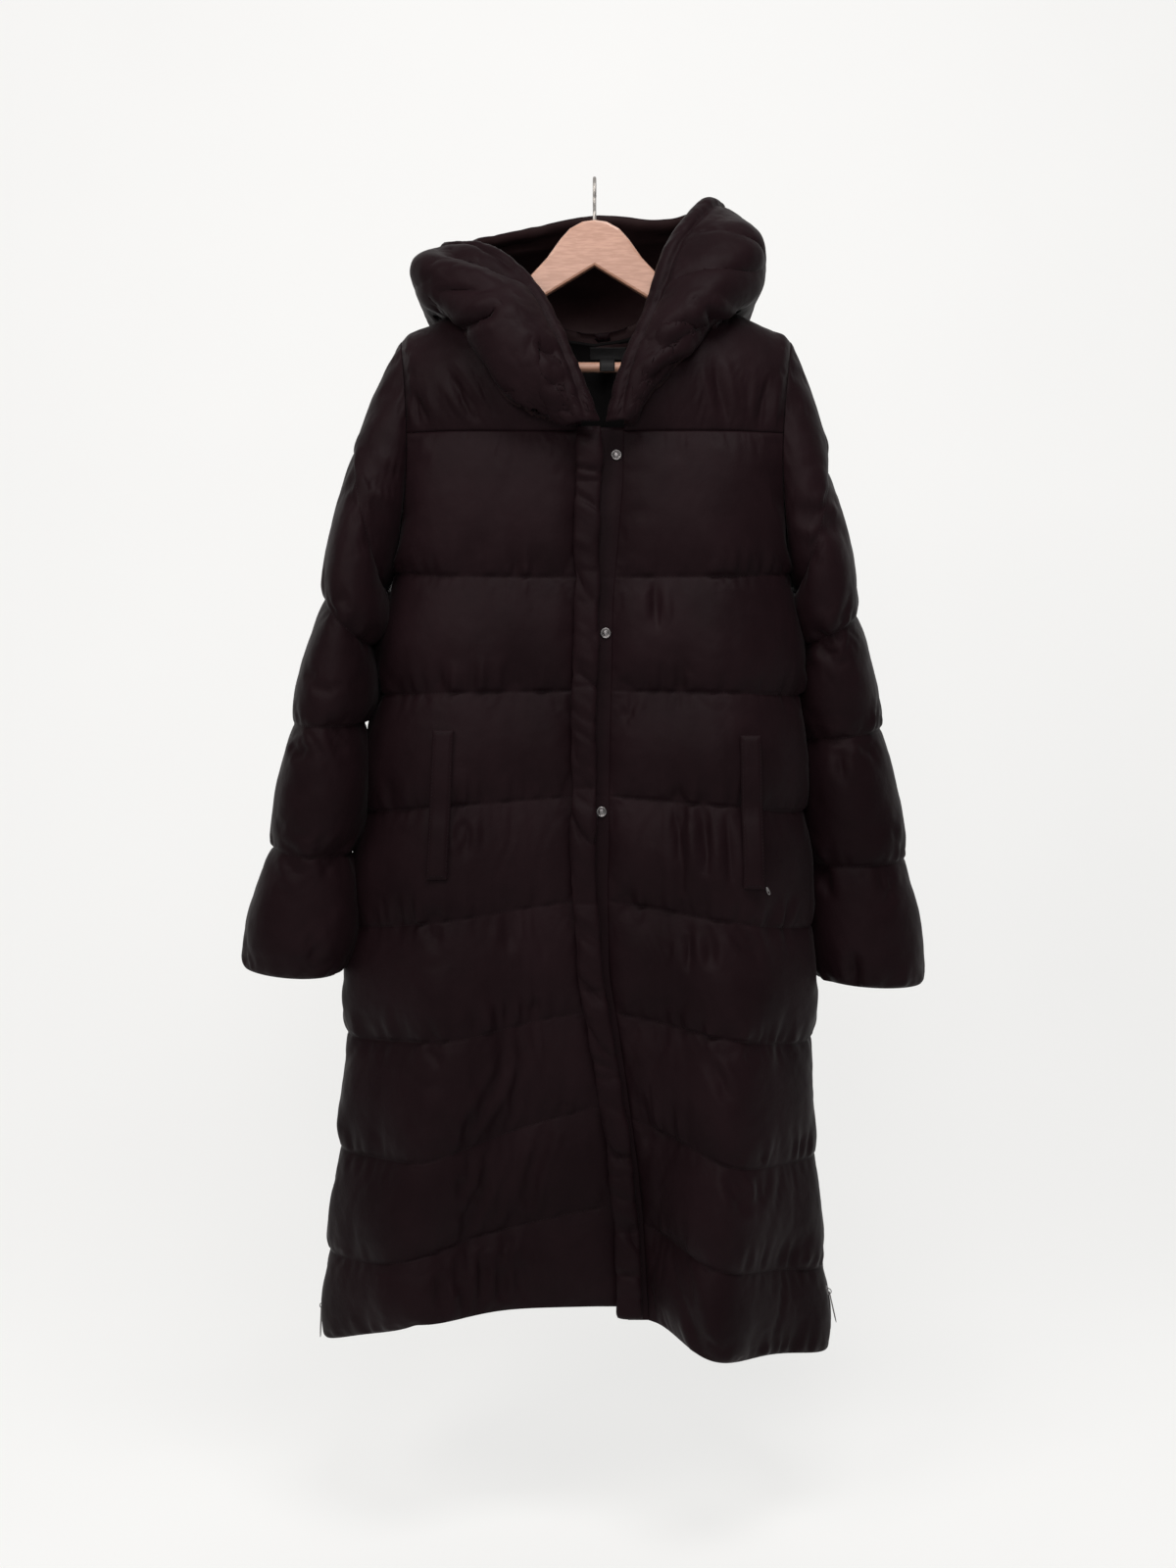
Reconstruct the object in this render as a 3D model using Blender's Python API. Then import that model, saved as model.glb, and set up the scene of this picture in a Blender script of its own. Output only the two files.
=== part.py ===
"""Long padded coat with a deep hood, hanging on a wooden hanger.

Metres, +Z up.  The front of the coat faces -Y and +X is the wearer's left.  The origin is inside
the crown of the hanger's hook.  Every cloth piece is a closed wall: a grid of points on the seam
surface, moved outwards and inwards along the surface's normals, with the channels puffed up
between their seams.
"""
import math

import bmesh
import bpy
import numpy as np
from mathutils import Vector
from mathutils.bvhtree import BVHTree

# ------------------------------------------------------------------ driving sizes
SEAM_GAP = 0.0002          # each piece stops this far short of the seam line
SEAM_WALL = 0.0012         # half the wall on a seam
COLS = 8                   # columns across half a front
BACK_COLS = 14             # 4 under each shoulder and 6 under the neck
ROWS = 3                   # rows in one channel of the body
YOKE_ROWS = 4
SECTION_POWER = 3.0        # how square the body's section is
BODY_PUFF = 0.0125         # height of a channel over its seams
BODY_INNER = 0.0045        # depth of a channel behind its seams
SIDE_SHARE = 0.45          # of a channel's puff that is left on the side seam
VENT_LEVEL = 6             # the seam from which the side seams are zipped and flat
YOKE_PUFF = 0.0085
SLEEVE_PUFF = 0.011
HOOD_HALF_WALL = 0.0040

PLACKET_WIDTH = 0.0275
PLACKET_THICK = 0.0125
PLACKET_LIFT = 0.0052      # back of the placket in front of the seam surface
UNDERLAP_REACH = ((-0.33, 0.035), (-0.45, 0.0262), (-0.70, 0.0255), (-0.82, 0.0190))   # sewn edge by height
UNDERLAP_START = -0.003    # its free edge; both are x from the placket's centre line
UNDERLAP_PUFF = 0.0010
PANEL_TUCK = 0.006         # the right front starts this far behind the placket's centre line
SNAP_STANDOFF = 0.0012     # backs of the snaps in front of the seam wall
SOCKET_OFFSETS = (0.0080, 0.0080, 0.0080, -0.0050, -0.0050)
SNAP_RADIUS = 0.0055
SNAP_HEIGHT = 0.0022
WELT_WIDTH = 0.0215
WELT_THICK = 0.0040
WELT_GAP = 0.0006

WOOD_THICK = 0.0125
BAR_RADIUS = 0.0055
BAR_Z = -0.2005
WIRE_RADIUS = 0.0019
HOOK_RADIUS = 0.0165       # centre line of the hook's bow
STEM_FOOT = -0.066         # the wire's end inside the wood
BAR_END = 0.0015           # the bar's ends beyond the tips' centres
HOLE_GAP = 0.0004

# ------------------------------------------------------------------ tables
# The body's rings, from the yoke seam to the hem.  z is the seam's height at the placket, at the
# fold that runs down each front (ridge) and at the side seam; half is the half width; the depths
# are distances from the plane of the hanger.
RING_COLUMNS = ("z_mid", "z_ridge_l", "z_ridge_r", "z_side_l", "z_side_r", "half_l", "half_r",
                "ridge_l", "ridge_r", "front", "front_ridge_l", "front_ridge_r", "back")
RINGS = np.array([
    (-0.276, -0.276, -0.276, -0.276, -0.276, 0.204, 0.200, 0.150, 0.145, 0.076, 0.080, 0.080, 0.070),
    (-0.427, -0.426, -0.426, -0.422, -0.422, 0.211, 0.206, 0.150, 0.145, 0.082, 0.090, 0.094, 0.085),
    (-0.543, -0.545, -0.545, -0.550, -0.550, 0.220, 0.2050, 0.152, 0.145, 0.083, 0.098, 0.104, 0.090),
    (-0.650, -0.6605, -0.6605, -0.673, -0.673, 0.234, 0.2100, 0.155, 0.145, 0.083, 0.102, 0.112, 0.092),
    (-0.7566, -0.7775, -0.7775, -0.794, -0.794, 0.250, 0.220, 0.158, 0.145, 0.080, 0.108, 0.118, 0.095),
    (-0.872, -0.898, -0.895, -0.910, -0.9146, 0.256, 0.2235, 0.150, 0.145, 0.075, 0.112, 0.126, 0.098),
    (-0.973, -1.020, -1.020, -1.030, -1.037, 0.2685, 0.2325, 0.174, 0.142, 0.071, 0.118, 0.136, 0.102),
    (-1.0775, -1.122, -1.119, -1.139, -1.156, 0.2795, 0.2415, 0.200, 0.125, 0.070, 0.120, 0.142, 0.106),
    (-1.179, -1.183, -1.208, -1.231, -1.243, 0.2865, 0.2475, 0.180, 0.115, 0.070, 0.118, 0.142, 0.110)])
RIDGE_SPREAD = 0.060
EDGE_RISE = 0.035          # a front comes forward from the placket over this width

# The armhole's plane leans with x from shoulder to underarm; bow is its curve towards the neck.
ARMHOLE = {-1: dict(x_shoulder=-0.206, x_underarm=-0.211, bow=0.013, half_depth=0.058),
           +1: dict(x_shoulder=0.209, x_underarm=0.206, bow=0.012, half_depth=0.058)}
SHOULDER_Z = -0.175
UNDERARM_Z = -0.422
YOKE_ANGLE = math.radians(100.0)   # where the yoke seam meets the armhole, from the underarm

# The shoulder seam over the hanger's arm, from the side of the neck to the shoulder point.
SHOULDER_SEAM = ((0.084, -0.108), (0.115, -0.127), (0.145, -0.145), (0.176, -0.161))

# The neckline from the front edge to the centre of the back.
NECK = ((0.046, -0.077, -0.205), (0.078, -0.036, -0.130), (0.084, 0.0, -0.108),
        (0.070, 0.036, -0.134), (0.038, 0.052, -0.153), (0.0, 0.056, -0.160))
NECK_SIDE = 2              # the row of NECK where the shoulder seam starts

# Sleeve rings: the innermost and outermost points of the seam, the ring's middle in y and its half
# depth; puff scales the channel above the ring.
SLEEVES = {
    -1: ((-0.2230, -0.440, -0.2515, -0.291, -0.012, 0.082, 0.50),
         (-0.2370, -0.498, -0.2800, -0.447, -0.028, 0.080, 1.00),
         (-0.2470, -0.578, -0.3120, -0.5786, -0.038, 0.072, 0.90),
         (-0.2600, -0.7136, -0.3340, -0.7067, -0.040, 0.060, 1.00),
         (-0.2745, -0.842, -0.3660, -0.832, -0.038, 0.046, 1.25)),
    +1: ((0.2185, -0.442, 0.2470, -0.310, 0.010, 0.080, 0.85),
         (0.2240, -0.500, 0.2815, -0.466, 0.030, 0.078, 1.00),
         (0.2240, -0.600, 0.3100, -0.589, 0.044, 0.070, 0.90),
         (0.2330, -0.734, 0.3370, -0.731, 0.044, 0.060, 1.00),
         (0.2515, -0.862, 0.3560, -0.866, 0.040, 0.048, 1.15))}
SLEEVE_ROWS = 4

# The placket's centre line, and its heights where cross seams pinch it.
PLACKET_PATH = ((-0.276, -0.006), (-0.428, -0.008), (-0.538, -0.010), (-0.653, -0.012),
                (-0.738, -0.011), (-0.838, -0.004), (-0.889, 0.005), (-0.966, 0.017),
                (-1.021, 0.025), (-1.073, 0.0305), (-1.139, 0.034), (-1.188, 0.037))
PLACKET_SEAMS = (-0.276, -0.328, -0.420, -0.538, -0.642, -0.760, -0.850, -0.940, -1.021, -1.098, -1.188)
SNAP_TOP = -0.301
SNAP_PITCH = 0.183
SNAP_OFFSETS = (0.0285, 0.0200, 0.0185, 0.0062, 0.0062)   # of the studs from the placket's centre line

# The pocket welts: top and bottom of each centre line.
WELTS = {"welt_right": (-1, -0.1537, -0.582, -0.1600, -0.733),
         "welt_left": (+1, 0.1575, -0.587, 0.1606, -0.741)}

# The hood, from the right front of the wearer round the back: where each section leaves the
# neckline (0 front edge, 1 side of the neck, 2 centre back), the point where it lies on the
# shoulder or hangs lowest, the middle of its roll, and the hood's edge.
HOOD_COLUMNS = ("side", "neck", "low", "roll", "edge")
HOOD = (
    (-1, 0.00, (-0.030, -0.1000, -0.2725), (-0.014, -0.1130, -0.2700), (0.005, -0.1050, -0.2690)),
    (-1, 0.30, (-0.084, -0.1040, -0.246), (-0.058, -0.1240, -0.218), (-0.009, -0.1000, -0.232)),
    (-1, 0.55, (-0.113, -0.0960, -0.208), (-0.088, -0.1160, -0.168), (-0.031, -0.0820, -0.178)),
    (-1, 0.80, (-0.140, -0.0720, -0.168), (-0.128, -0.0860, -0.122), (-0.061, -0.0590, -0.121)),
    (-1, 0.93, (-0.166, -0.0420, -0.147), (-0.180, -0.0500, -0.099), (-0.104, -0.0330, -0.080)),
    (-1, 1.07, (-0.172, 0.0060, -0.138), (-0.187, 0.0030, -0.090), (-0.150, 0.0080, -0.067)),
    (-1, 1.30, (-0.158, 0.0800, -0.170), (-0.176, 0.0980, -0.102), (-0.136, 0.0560, -0.054)),
    (-1, 1.62, (-0.094, 0.1350, -0.212), (-0.108, 0.1780, -0.108), (-0.076, 0.0920, -0.036)),
    (-1, 2.00, (0.000, 0.1560, -0.226), (0.000, 0.2080, -0.118), (0.004, 0.1050, -0.024)),
    (+1, 1.62, (0.094, 0.1350, -0.206), (0.110, 0.1740, -0.096), (0.078, 0.0900, -0.026)),
    (+1, 1.30, (0.152, 0.0800, -0.160), (0.170, 0.0920, -0.072), (0.130, 0.0480, -0.015)),
    (+1, 1.07, (0.160, 0.0060, -0.132), (0.175, 0.0020, -0.068), (0.117, 0.0080, -0.018)),
    (+1, 0.93, (0.152, -0.0400, -0.140), (0.166, -0.0500, -0.078), (0.095, -0.0240, -0.045)),
    (+1, 0.80, (0.120, -0.0700, -0.166), (0.130, -0.0860, -0.118), (0.071, -0.0540, -0.086)),
    (+1, 0.55, (0.088, -0.0930, -0.200), (0.092, -0.1080, -0.160), (0.049, -0.0730, -0.156)),
    (+1, 0.30, (0.058, -0.1010, -0.232), (0.060, -0.1140, -0.205), (0.026, -0.0900, -0.213)),
    (+1, 0.00, (0.037, -0.0970, -0.2710), (0.028, -0.1090, -0.2680), (0.011, -0.1020, -0.2690)))
HOOD_START = {-1: -0.014, 1: 0.031}   # x of the hood's front corner on each side
HOOD_FOOT = (-0.079, -0.2735)         # y and z of both corners
HOOD_NECK_LIFT = 0.0040    # the hood's first seam above the yoke's
NECK_STEPS = 60            # steps along the neckline from a front corner to the centre back
HOOD_PROFILE = 6           # strips from the neck to the hood's edge
HOOD_STEPS = 2             # sections between two rows of the table
HOOD_PIECES = {"hood_right_side": (0, 6), "hood_crown": (6, 10), "hood_left_side": (10, 16)}

# The hanger's outline on +X, from the centre: its upper edge, then its lower edge.
HANGER_TOP = ((0.0, -0.0430), (0.013, -0.0450), (0.0265, -0.0525), (0.0368, -0.0640),
              (0.0510, -0.0840), (0.0735, -0.1080), (0.100, -0.1295), (0.140, -0.1525),
              (0.175, -0.1705), (0.195, -0.1820))
HANGER_BOTTOM = ((0.0, -0.0924), (0.060, -0.1290), (0.100, -0.1530), (0.140, -0.1760), (0.175, -0.1915))
TIP_CENTRE = (0.1915, -0.2000)
TIP_RADIUS = 0.0125

# Vent zips: side, slider height, how far the pull tab leans out at its foot.
VENT_ZIPS = {"right": (-1, -1.205, 0.001), "left": (+1, -1.190, 0.007)}
ZIP_TOP = -1.045
TAPE_GAP = 0.0005          # between the side seam's wall and the tape
TAPE_WIDTH = 0.0090
TAPE_THICK = 0.0008
TAPE_TAIL = 0.012          # of tape below the slider's centre
SLIDER_SIZE = (0.0030, 0.0080, 0.0105)
SLIDER_STANDOFF = 0.0013   # between the slider's back and the tape's back
PULL_PIN = (0.0082, 0.0030)   # the pull's pivot outside the seam surface, and below the slider's centre
POCKET_PULL = (0.1755, -0.745)
POCKET_PULL_SIZE = (0.0032, 0.0014, 0.0085)
POCKET_PULL_LEAN = math.radians(22)
PULL_STANDOFF = 0.0046
PULL_LENGTH = 0.032
PULL_WIDTH = 0.0060
PULL_THICK = 0.0012

# The lining behind the neck, its label, and the size tab below that.
LINING_DROP = 0.004        # the lining's upper edge below the neckline
LINING_GAP = 0.0012
LINING_THICK = 0.0010
LABEL_X, LABEL_TOP = 0.015, -0.171
LABEL_WIDTH, LABEL_HEIGHT, LABEL_THICK = 0.040, 0.0135, 0.0006
LABEL_GAP = 0.0005
TAB_X, TAB_WIDTH = 0.0135, 0.016
TAB_REACH = 0.0016         # the tab's middle outside the bar
TAB_DROP = 0.0050          # the tab's end below the bar's centre

# ------------------------------------------------------------------ materials and meshes
SHELL = ("shell_fabric", (0.0125, 0.0085, 0.0088), 0.62, 0.0)
LINING = ("lining_fabric", (0.004, 0.004, 0.0042), 0.55, 0.0)
WOOD = ("pale_wood", (0.52, 0.30, 0.19), 0.45, 0.0)
STEEL = ("steel_wire", (0.55, 0.55, 0.56), 0.30, 1.0)
SILVER = ("plated_metal", (0.48, 0.47, 0.48), 0.28, 1.0)
LABEL = ("woven_label", (0.010, 0.010, 0.011), 0.70, 0.0)


def material(finish):
    """The named material, made the first time it is asked for."""
    name, colour, roughness, metallic = finish
    found = bpy.data.materials.get(name)
    if found is None:
        found = bpy.data.materials.new(name)
        found.use_nodes = True
        shader = found.node_tree.nodes["Principled BSDF"]
        shader.inputs["Base Color"].default_value = (*colour, 1.0)
        shader.inputs["Roughness"].default_value = roughness
        shader.inputs["Metallic"].default_value = metallic
    return found


def add_object(name, mesh, finish, parent):
    """Put a mesh in the scene under its parent empty, which stands at a joint or at the origin."""
    item = bpy.data.objects.new(name, mesh)
    item.data.materials.append(material(finish))
    bpy.context.scene.collection.objects.link(item)
    item.parent = parent
    item.location = -parent.location
    return item


def mesh_from(name, points, faces, smooth=True):
    """A mesh with its faces turned outwards."""
    mesh = bpy.data.meshes.new(name)
    mesh.from_pydata([tuple(p) for p in points], [], faces)
    form = bmesh.new()
    form.from_mesh(mesh)
    bmesh.ops.recalc_face_normals(form, faces=form.faces)
    form.to_mesh(mesh)
    form.free()
    if smooth:
        mesh.shade_smooth()
    return mesh


def wall(name, outer, inner, finish, parent, ring=False):
    """A closed wall between two grids of points; a ring's last column joins its first."""
    rows, cols = outer.shape[:2]
    points = np.concatenate([outer.reshape(-1, 3), inner.reshape(-1, 3)])
    behind = rows * cols
    spans = cols if ring else cols - 1
    faces = []
    for i in range(rows - 1):
        for j in range(spans):
            k = (j + 1) % cols
            a, b, c, d = i * cols + j, i * cols + k, (i + 1) * cols + k, (i + 1) * cols + j
            faces.append((a, b, c, d))
            faces.append((a + behind, d + behind, c + behind, b + behind))
    for j in range(spans):
        k = (j + 1) % cols
        for i, turn in ((0, 1), (rows - 1, -1)):
            rim = (i * cols + j, i * cols + k, i * cols + k + behind, i * cols + j + behind)
            faces.append(rim[::-turn])
    if not ring:
        for i in range(rows - 1):
            for j, turn in ((0, -1), (cols - 1, 1)):
                a, b = i * cols + j, (i + 1) * cols + j
                faces.append((a, b, b + behind, a + behind)[::-turn])
    return add_object(name, mesh_from(name, points, faces), finish, parent)


# ------------------------------------------------------------------ small geometry
def unit(v):
    """Vectors of length one."""
    return v / np.maximum(np.linalg.norm(v, axis=-1, keepdims=True), 1e-12)


def spline(points, count):
    """Points at even parameter steps on a Catmull-Rom curve through the given points."""
    p = np.asarray(points, float)
    p = np.concatenate([[2 * p[0] - p[1]], p, [2 * p[-1] - p[-2]]])
    out = []
    for t in np.linspace(0.0, len(p) - 3.0, count):
        k = min(int(t), len(p) - 4)
        f = t - k
        a, b, c, d = p[k:k + 4]
        out.append(0.5 * (2 * b + (c - a) * f + (2 * a - 5 * b + 4 * c - d) * f ** 2
                          + (3 * b - a - 3 * c + d) * f ** 3))
    return np.array(out)


def resample(points, count):
    """Points evenly spaced along a polyline."""
    steps = np.linalg.norm(np.diff(points, axis=0), axis=1)
    along = np.concatenate([[0.0], np.cumsum(steps)])
    want = np.linspace(0.0, along[-1], count)
    return np.stack([np.interp(want, along, points[:, k]) for k in range(3)], axis=1)


def grid_normals(grid, towards):
    """Normals of a grid of points, turned to the side on which `towards` has a positive product."""
    n = unit(np.cross(np.gradient(grid, axis=1), np.gradient(grid, axis=0)))
    flip = np.sign(np.sum(n * towards, axis=-1, keepdims=True))
    return n * np.where(flip == 0, 1.0, flip)


def pull_in(grid, edges, gap=SEAM_GAP):
    """Move the named edges of a grid inwards along the surface."""
    out = grid.copy()
    pairs = {"top": (np.s_[0], np.s_[1]), "bottom": (np.s_[-1], np.s_[-2]),
             "start": (np.s_[:, 0], np.s_[:, 1]), "end": (np.s_[:, -1], np.s_[:, -2])}
    for edge in edges:
        rim, inside = pairs[edge]
        out[rim] = out[rim] + unit(grid[inside] - grid[rim]) * gap
    return out


def across_panel(cols):
    """How a panel's puff dies away at its first and last columns."""
    across = np.ones(cols)
    across[0] = across[-1] = 0.0
    across[1] = across[-2] = 0.84
    return across


def puffs(rows, cols, per_channel, height):
    """How far a grid stands off its seams: full inside a channel, nothing on its seams."""
    up = np.array([0.0 if i % per_channel == 0 else 1.0 for i in range(rows)])
    return height * up[:, None] * across_panel(cols)[None, :]


def body_puffs(rows, cols, side_columns):
    """Channel puffs that run on over the side seams, from the underarm down to the vents."""
    puff = puffs(rows, cols, ROWS, BODY_PUFF)
    for column, beside in side_columns:
        puff[:ROWS, beside] *= 0.6
        for i in range(ROWS, VENT_LEVEL * ROWS):
            puff[i, column] = SIDE_SHARE * puff[i, beside]
    return puff


def padded_wall(name, grid, normals, puff, edges, parent, inner_share, finish=SHELL, ring=False):
    """A wall whose outer face is puffed by `puff` and whose inner face by a share of it."""
    base = pull_in(grid, edges)
    outer = base + normals * (SEAM_WALL + puff)[..., None]
    inner = base - normals * (SEAM_WALL + puff * inner_share)[..., None]
    return wall(name, outer, inner, finish, parent, ring), outer


# ------------------------------------------------------------------ the body's rings
def placket_x(z):
    """The placket's centre line at a height."""
    path = np.array(PLACKET_PATH)[::-1]
    return np.interp(z, path[:, 0], path[:, 1])


def armhole_point(side, angle, front):
    """A point of the armhole seam; the angle runs from the underarm to the shoulder."""
    hole = ARMHOLE[side]
    share = (1.0 - math.cos(angle)) / 2.0
    x = hole["x_underarm"] + share * (hole["x_shoulder"] - hole["x_underarm"])
    x -= side * hole["bow"] * math.sin(angle) ** 2
    y = hole["half_depth"] * math.sin(angle) * (-1.0 if front else 1.0)
    return np.array([x, y, UNDERARM_Z + share * (SHOULDER_Z - UNDERARM_Z)])


def armhole_normal(side, angle, front):
    """The way the cloth faces on the armhole seam, shared by the body and the sleeve."""
    lean = math.cos(angle) if angle < math.pi / 2 else -0.35 * math.cos(angle)
    y = math.sin(angle) * (-1.0 if front else 1.0)
    return unit(np.array([side * lean, y, -math.cos(angle)]))


def ring_at(level):
    """The ring table's values at a level, interpolated between its rows."""
    k = min(int(level), len(RINGS) - 2)
    return dict(zip(RING_COLUMNS, RINGS[k] + (RINGS[k + 1] - RINGS[k]) * (level - k)))


def section_curve(x, half, depth):
    """Depth of the body's section at x."""
    share = np.clip(np.abs(x) / half, 0.0, 1.0)
    return depth * (1.0 - share ** SECTION_POWER) ** (1.0 / SECTION_POWER)


def half_section(level, side, front, start_x, count):
    """Points from start_x round to the armhole or the side seam."""
    ring = ring_at(level)
    tag = "l" if side < 0 else "r"
    if level < 1.0:
        end = armhole_point(side, YOKE_ANGLE * (1.0 - level), front)
    else:
        end = np.array([side * ring["half_" + tag], 0.0, ring["z_side_" + tag]])
    ridge = side * ring["ridge_" + tag]
    middle = ring["front"] if front else ring["back"]
    swell = (ring["front_ridge_" + tag] - middle) if front else 0.0
    end_depth = middle + swell * math.exp(-((end[0] - ridge) / RIDGE_SPREAD) ** 2)
    shut = 1.0 - (abs(end[1]) / end_depth) ** SECTION_POWER
    half = abs(end[0]) / shut ** (1.0 / SECTION_POWER)
    turn = np.linspace(0.0, 1.0, 240) ** 0.5
    x = start_x + (end[0] - start_x) * turn
    rise = 1.0 - np.exp(-((x - start_x) / EDGE_RISE) ** 2)
    depth = middle + swell * rise * np.exp(-((x - ridge) / RIDGE_SPREAD) ** 2)
    y = section_curve(x, half, depth) * (-1.0 if front else 1.0)
    reach = np.clip(x * side / abs(end[0]), 0.0, 1.0)
    if front:
        z = np.interp(reach, (0.0, abs(ridge / end[0]), 1.0), (ring["z_mid"], ring["z_ridge_" + tag], end[2]))
    else:
        z = np.full_like(x, (ring["z_side_l"] + ring["z_side_r"]) / 2.0)
        z = z + (end[2] - z) * reach ** 2
    points = np.stack([x, y, z], axis=1)
    points[-1] = end
    return resample(points, count)


def levels():
    """Every row of the body: the seams and the rows between them."""
    return [k / ROWS for k in range((len(RINGS) - 1) * ROWS + 1)]


def underlap_reach(z):
    """How far the underlap runs beyond the placket's centre line at a height."""
    heights, reaches = np.array(UNDERLAP_REACH)[::-1].T
    return np.interp(z, heights, reaches)


def front_edge(level, side):
    """Where a front panel starts: under the placket, or at the underlap's sewn edge."""
    centre = placket_x(ring_at(level)["z_mid"])
    return centre - PANEL_TUCK if side < 0 else centre + underlap_reach(ring_at(level)["z_mid"])


def body_grids():
    """Grids and shared normals of both fronts and the back."""
    fronts = {side: np.array([half_section(v, side, True, front_edge(v, side), COLS + 1) for v in levels()])
              for side in (-1, 1)}
    half_back = BACK_COLS // 2
    rows = []
    for v in levels():
        left = half_section(v, -1, False, 0.0, half_back + 1)
        right = half_section(v, 1, False, 0.0, half_back + 1)
        rows.append(np.concatenate([left[::-1], right[1:]]))
    back = np.array(rows)
    around = np.concatenate([fronts[-1], back[:, 1:-1], fronts[1][:, ::-1]], axis=1)
    outwards = around * (1.0, 3.0, 0.0)
    normals = grid_normals(around, outwards)
    left_end, right_start = COLS, COLS + BACK_COLS
    shared = {-1: normals[:, :COLS + 1].copy(), 1: normals[:, right_start:][:, ::-1].copy(),
              0: normals[:, left_end:right_start + 1].copy()}
    for i, v in enumerate(levels()):
        if v <= 1.0:
            angle = YOKE_ANGLE * (1.0 - v)
            for side, column in ((-1, 0), (1, -1)):
                shared[side][i, -1] = armhole_normal(side, angle, True)
                shared[0][i, column] = armhole_normal(side, angle, False)
    return fronts, back, shared


def make_body(parent):
    """Both fronts and the back, from the yoke seam to the hem."""
    fronts, back, normals = body_grids()
    rows = len(levels())
    share = BODY_INNER / BODY_PUFF
    outers = {}
    for side, name in ((-1, "front_right_panel"), (1, "front_left_panel")):
        puff = body_puffs(rows, COLS + 1, ((-1, -2),))
        _, outers[side] = padded_wall(name, fronts[side], normals[side], puff,
                                      ("top", "start", "end"), parent, share)
    padded_wall("back_panel", back, normals[0], body_puffs(rows, BACK_COLS + 1, ((0, 1), (-1, -2))),
                ("top", "start", "end"), parent, share)
    return fronts, back, normals, outers


# ------------------------------------------------------------------ yokes
def shoulder_points(side, steps):
    """The shoulder seam from the neck to the shoulder point, each stretch cut in equal steps."""
    ends = [(side * x, 0.0, z) for x, z in SHOULDER_SEAM] + [tuple(armhole_point(side, math.pi, True))]
    ends = np.array(ends)
    out = [ends[0]]
    for a, b in zip(ends[:-1], ends[1:]):
        out += [a + (b - a) * (k + 1) / steps for k in range(steps)]
    return np.array(out)


def neckline(side, start):
    """The neckline's knots from the front edge to the centre of the back."""
    return [start] + [(side * x, y, z) for x, y, z in NECK]


def patch(bottom, top, start, end):
    """A surface between four edges: rows run from bottom to top, columns from start to end."""
    v = np.linspace(0, 1, len(start))[:, None, None]
    u = np.linspace(0, 1, len(bottom))[None, :, None]
    ruled = (1 - v) * bottom[None] + v * top[None] + (1 - u) * start[:, None] + u * end[:, None]
    corners = ((1 - u) * (1 - v) * bottom[0] + u * (1 - v) * bottom[-1]
               + (1 - u) * v * top[0] + u * v * top[-1])
    return ruled - corners


def shoulder_normals(points, side):
    """Normals on the shoulder seam, square to it in the plane of the hanger."""
    run = unit(np.gradient(points, axis=0))
    return unit(np.stack([-run[:, 2] * side, 0 * run[:, 0], run[:, 0] * side], axis=1))


def make_yokes(parent, fronts, back, normals):
    """Two front yokes and the back yoke."""
    upper = [YOKE_ANGLE + (math.pi - YOKE_ANGLE) * k / YOKE_ROWS for k in range(YOKE_ROWS + 1)]
    dome = np.sin(np.linspace(0, math.pi, YOKE_ROWS + 1)) ** 0.6
    for side, name in ((-1, "yoke_front_right"), (1, "yoke_front_left")):
        bottom = fronts[side][0]
        top = shoulder_points(side, COLS // 4)
        knots = neckline(side, bottom[0])
        start = spline(knots[:NECK_SIDE + 2], YOKE_ROWS + 1)
        end = np.array([armhole_point(side, a, True) for a in upper])
        grid = patch(bottom, top, start, end)
        facing = grid_normals(grid, np.array([0.25 * side, -1.0, 0.6]))
        facing[0] = normals[side][0]
        facing[-1] = shoulder_normals(top, side)
        facing[:, -1] = [armhole_normal(side, a, True) for a in upper]
        puff = dome[:, None] * across_panel(COLS + 1)[None, :] * YOKE_PUFF
        padded_wall(name, grid, facing, puff, ("top", "bottom", "start", "end"), parent, 0.30)
    left, right = shoulder_points(-1, 1), shoulder_points(1, 1)
    half_neck = (BACK_COLS - 8) // 2
    behind = spline(np.array([(x, y, z) for x, y, z in NECK[NECK_SIDE:]]), half_neck + 1)
    arc = np.concatenate([behind * (-1, 1, 1), behind[::-1][1:]])
    top = np.concatenate([left[::-1][:-1], arc, right[1:]])
    start = np.array([armhole_point(-1, a, False) for a in upper])
    end = np.array([armhole_point(1, a, False) for a in upper])
    grid = patch(back[0], top, start, end)
    facing = grid_normals(grid, np.array([0.0, 1.0, 0.6]))
    facing[0] = normals[0][0]
    facing[-1, :5] = shoulder_normals(left, -1)[::-1]
    facing[-1, -5:] = shoulder_normals(right, 1)
    facing[:, 0] = [armhole_normal(-1, a, False) for a in upper]
    facing[:, -1] = [armhole_normal(1, a, False) for a in upper]
    puff = dome[:, None] * across_panel(BACK_COLS + 1)[None, :] * YOKE_PUFF
    padded_wall("yoke_back", grid, facing, puff, ("top", "bottom", "start", "end"), parent, 0.30)
    return grid, facing


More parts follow.
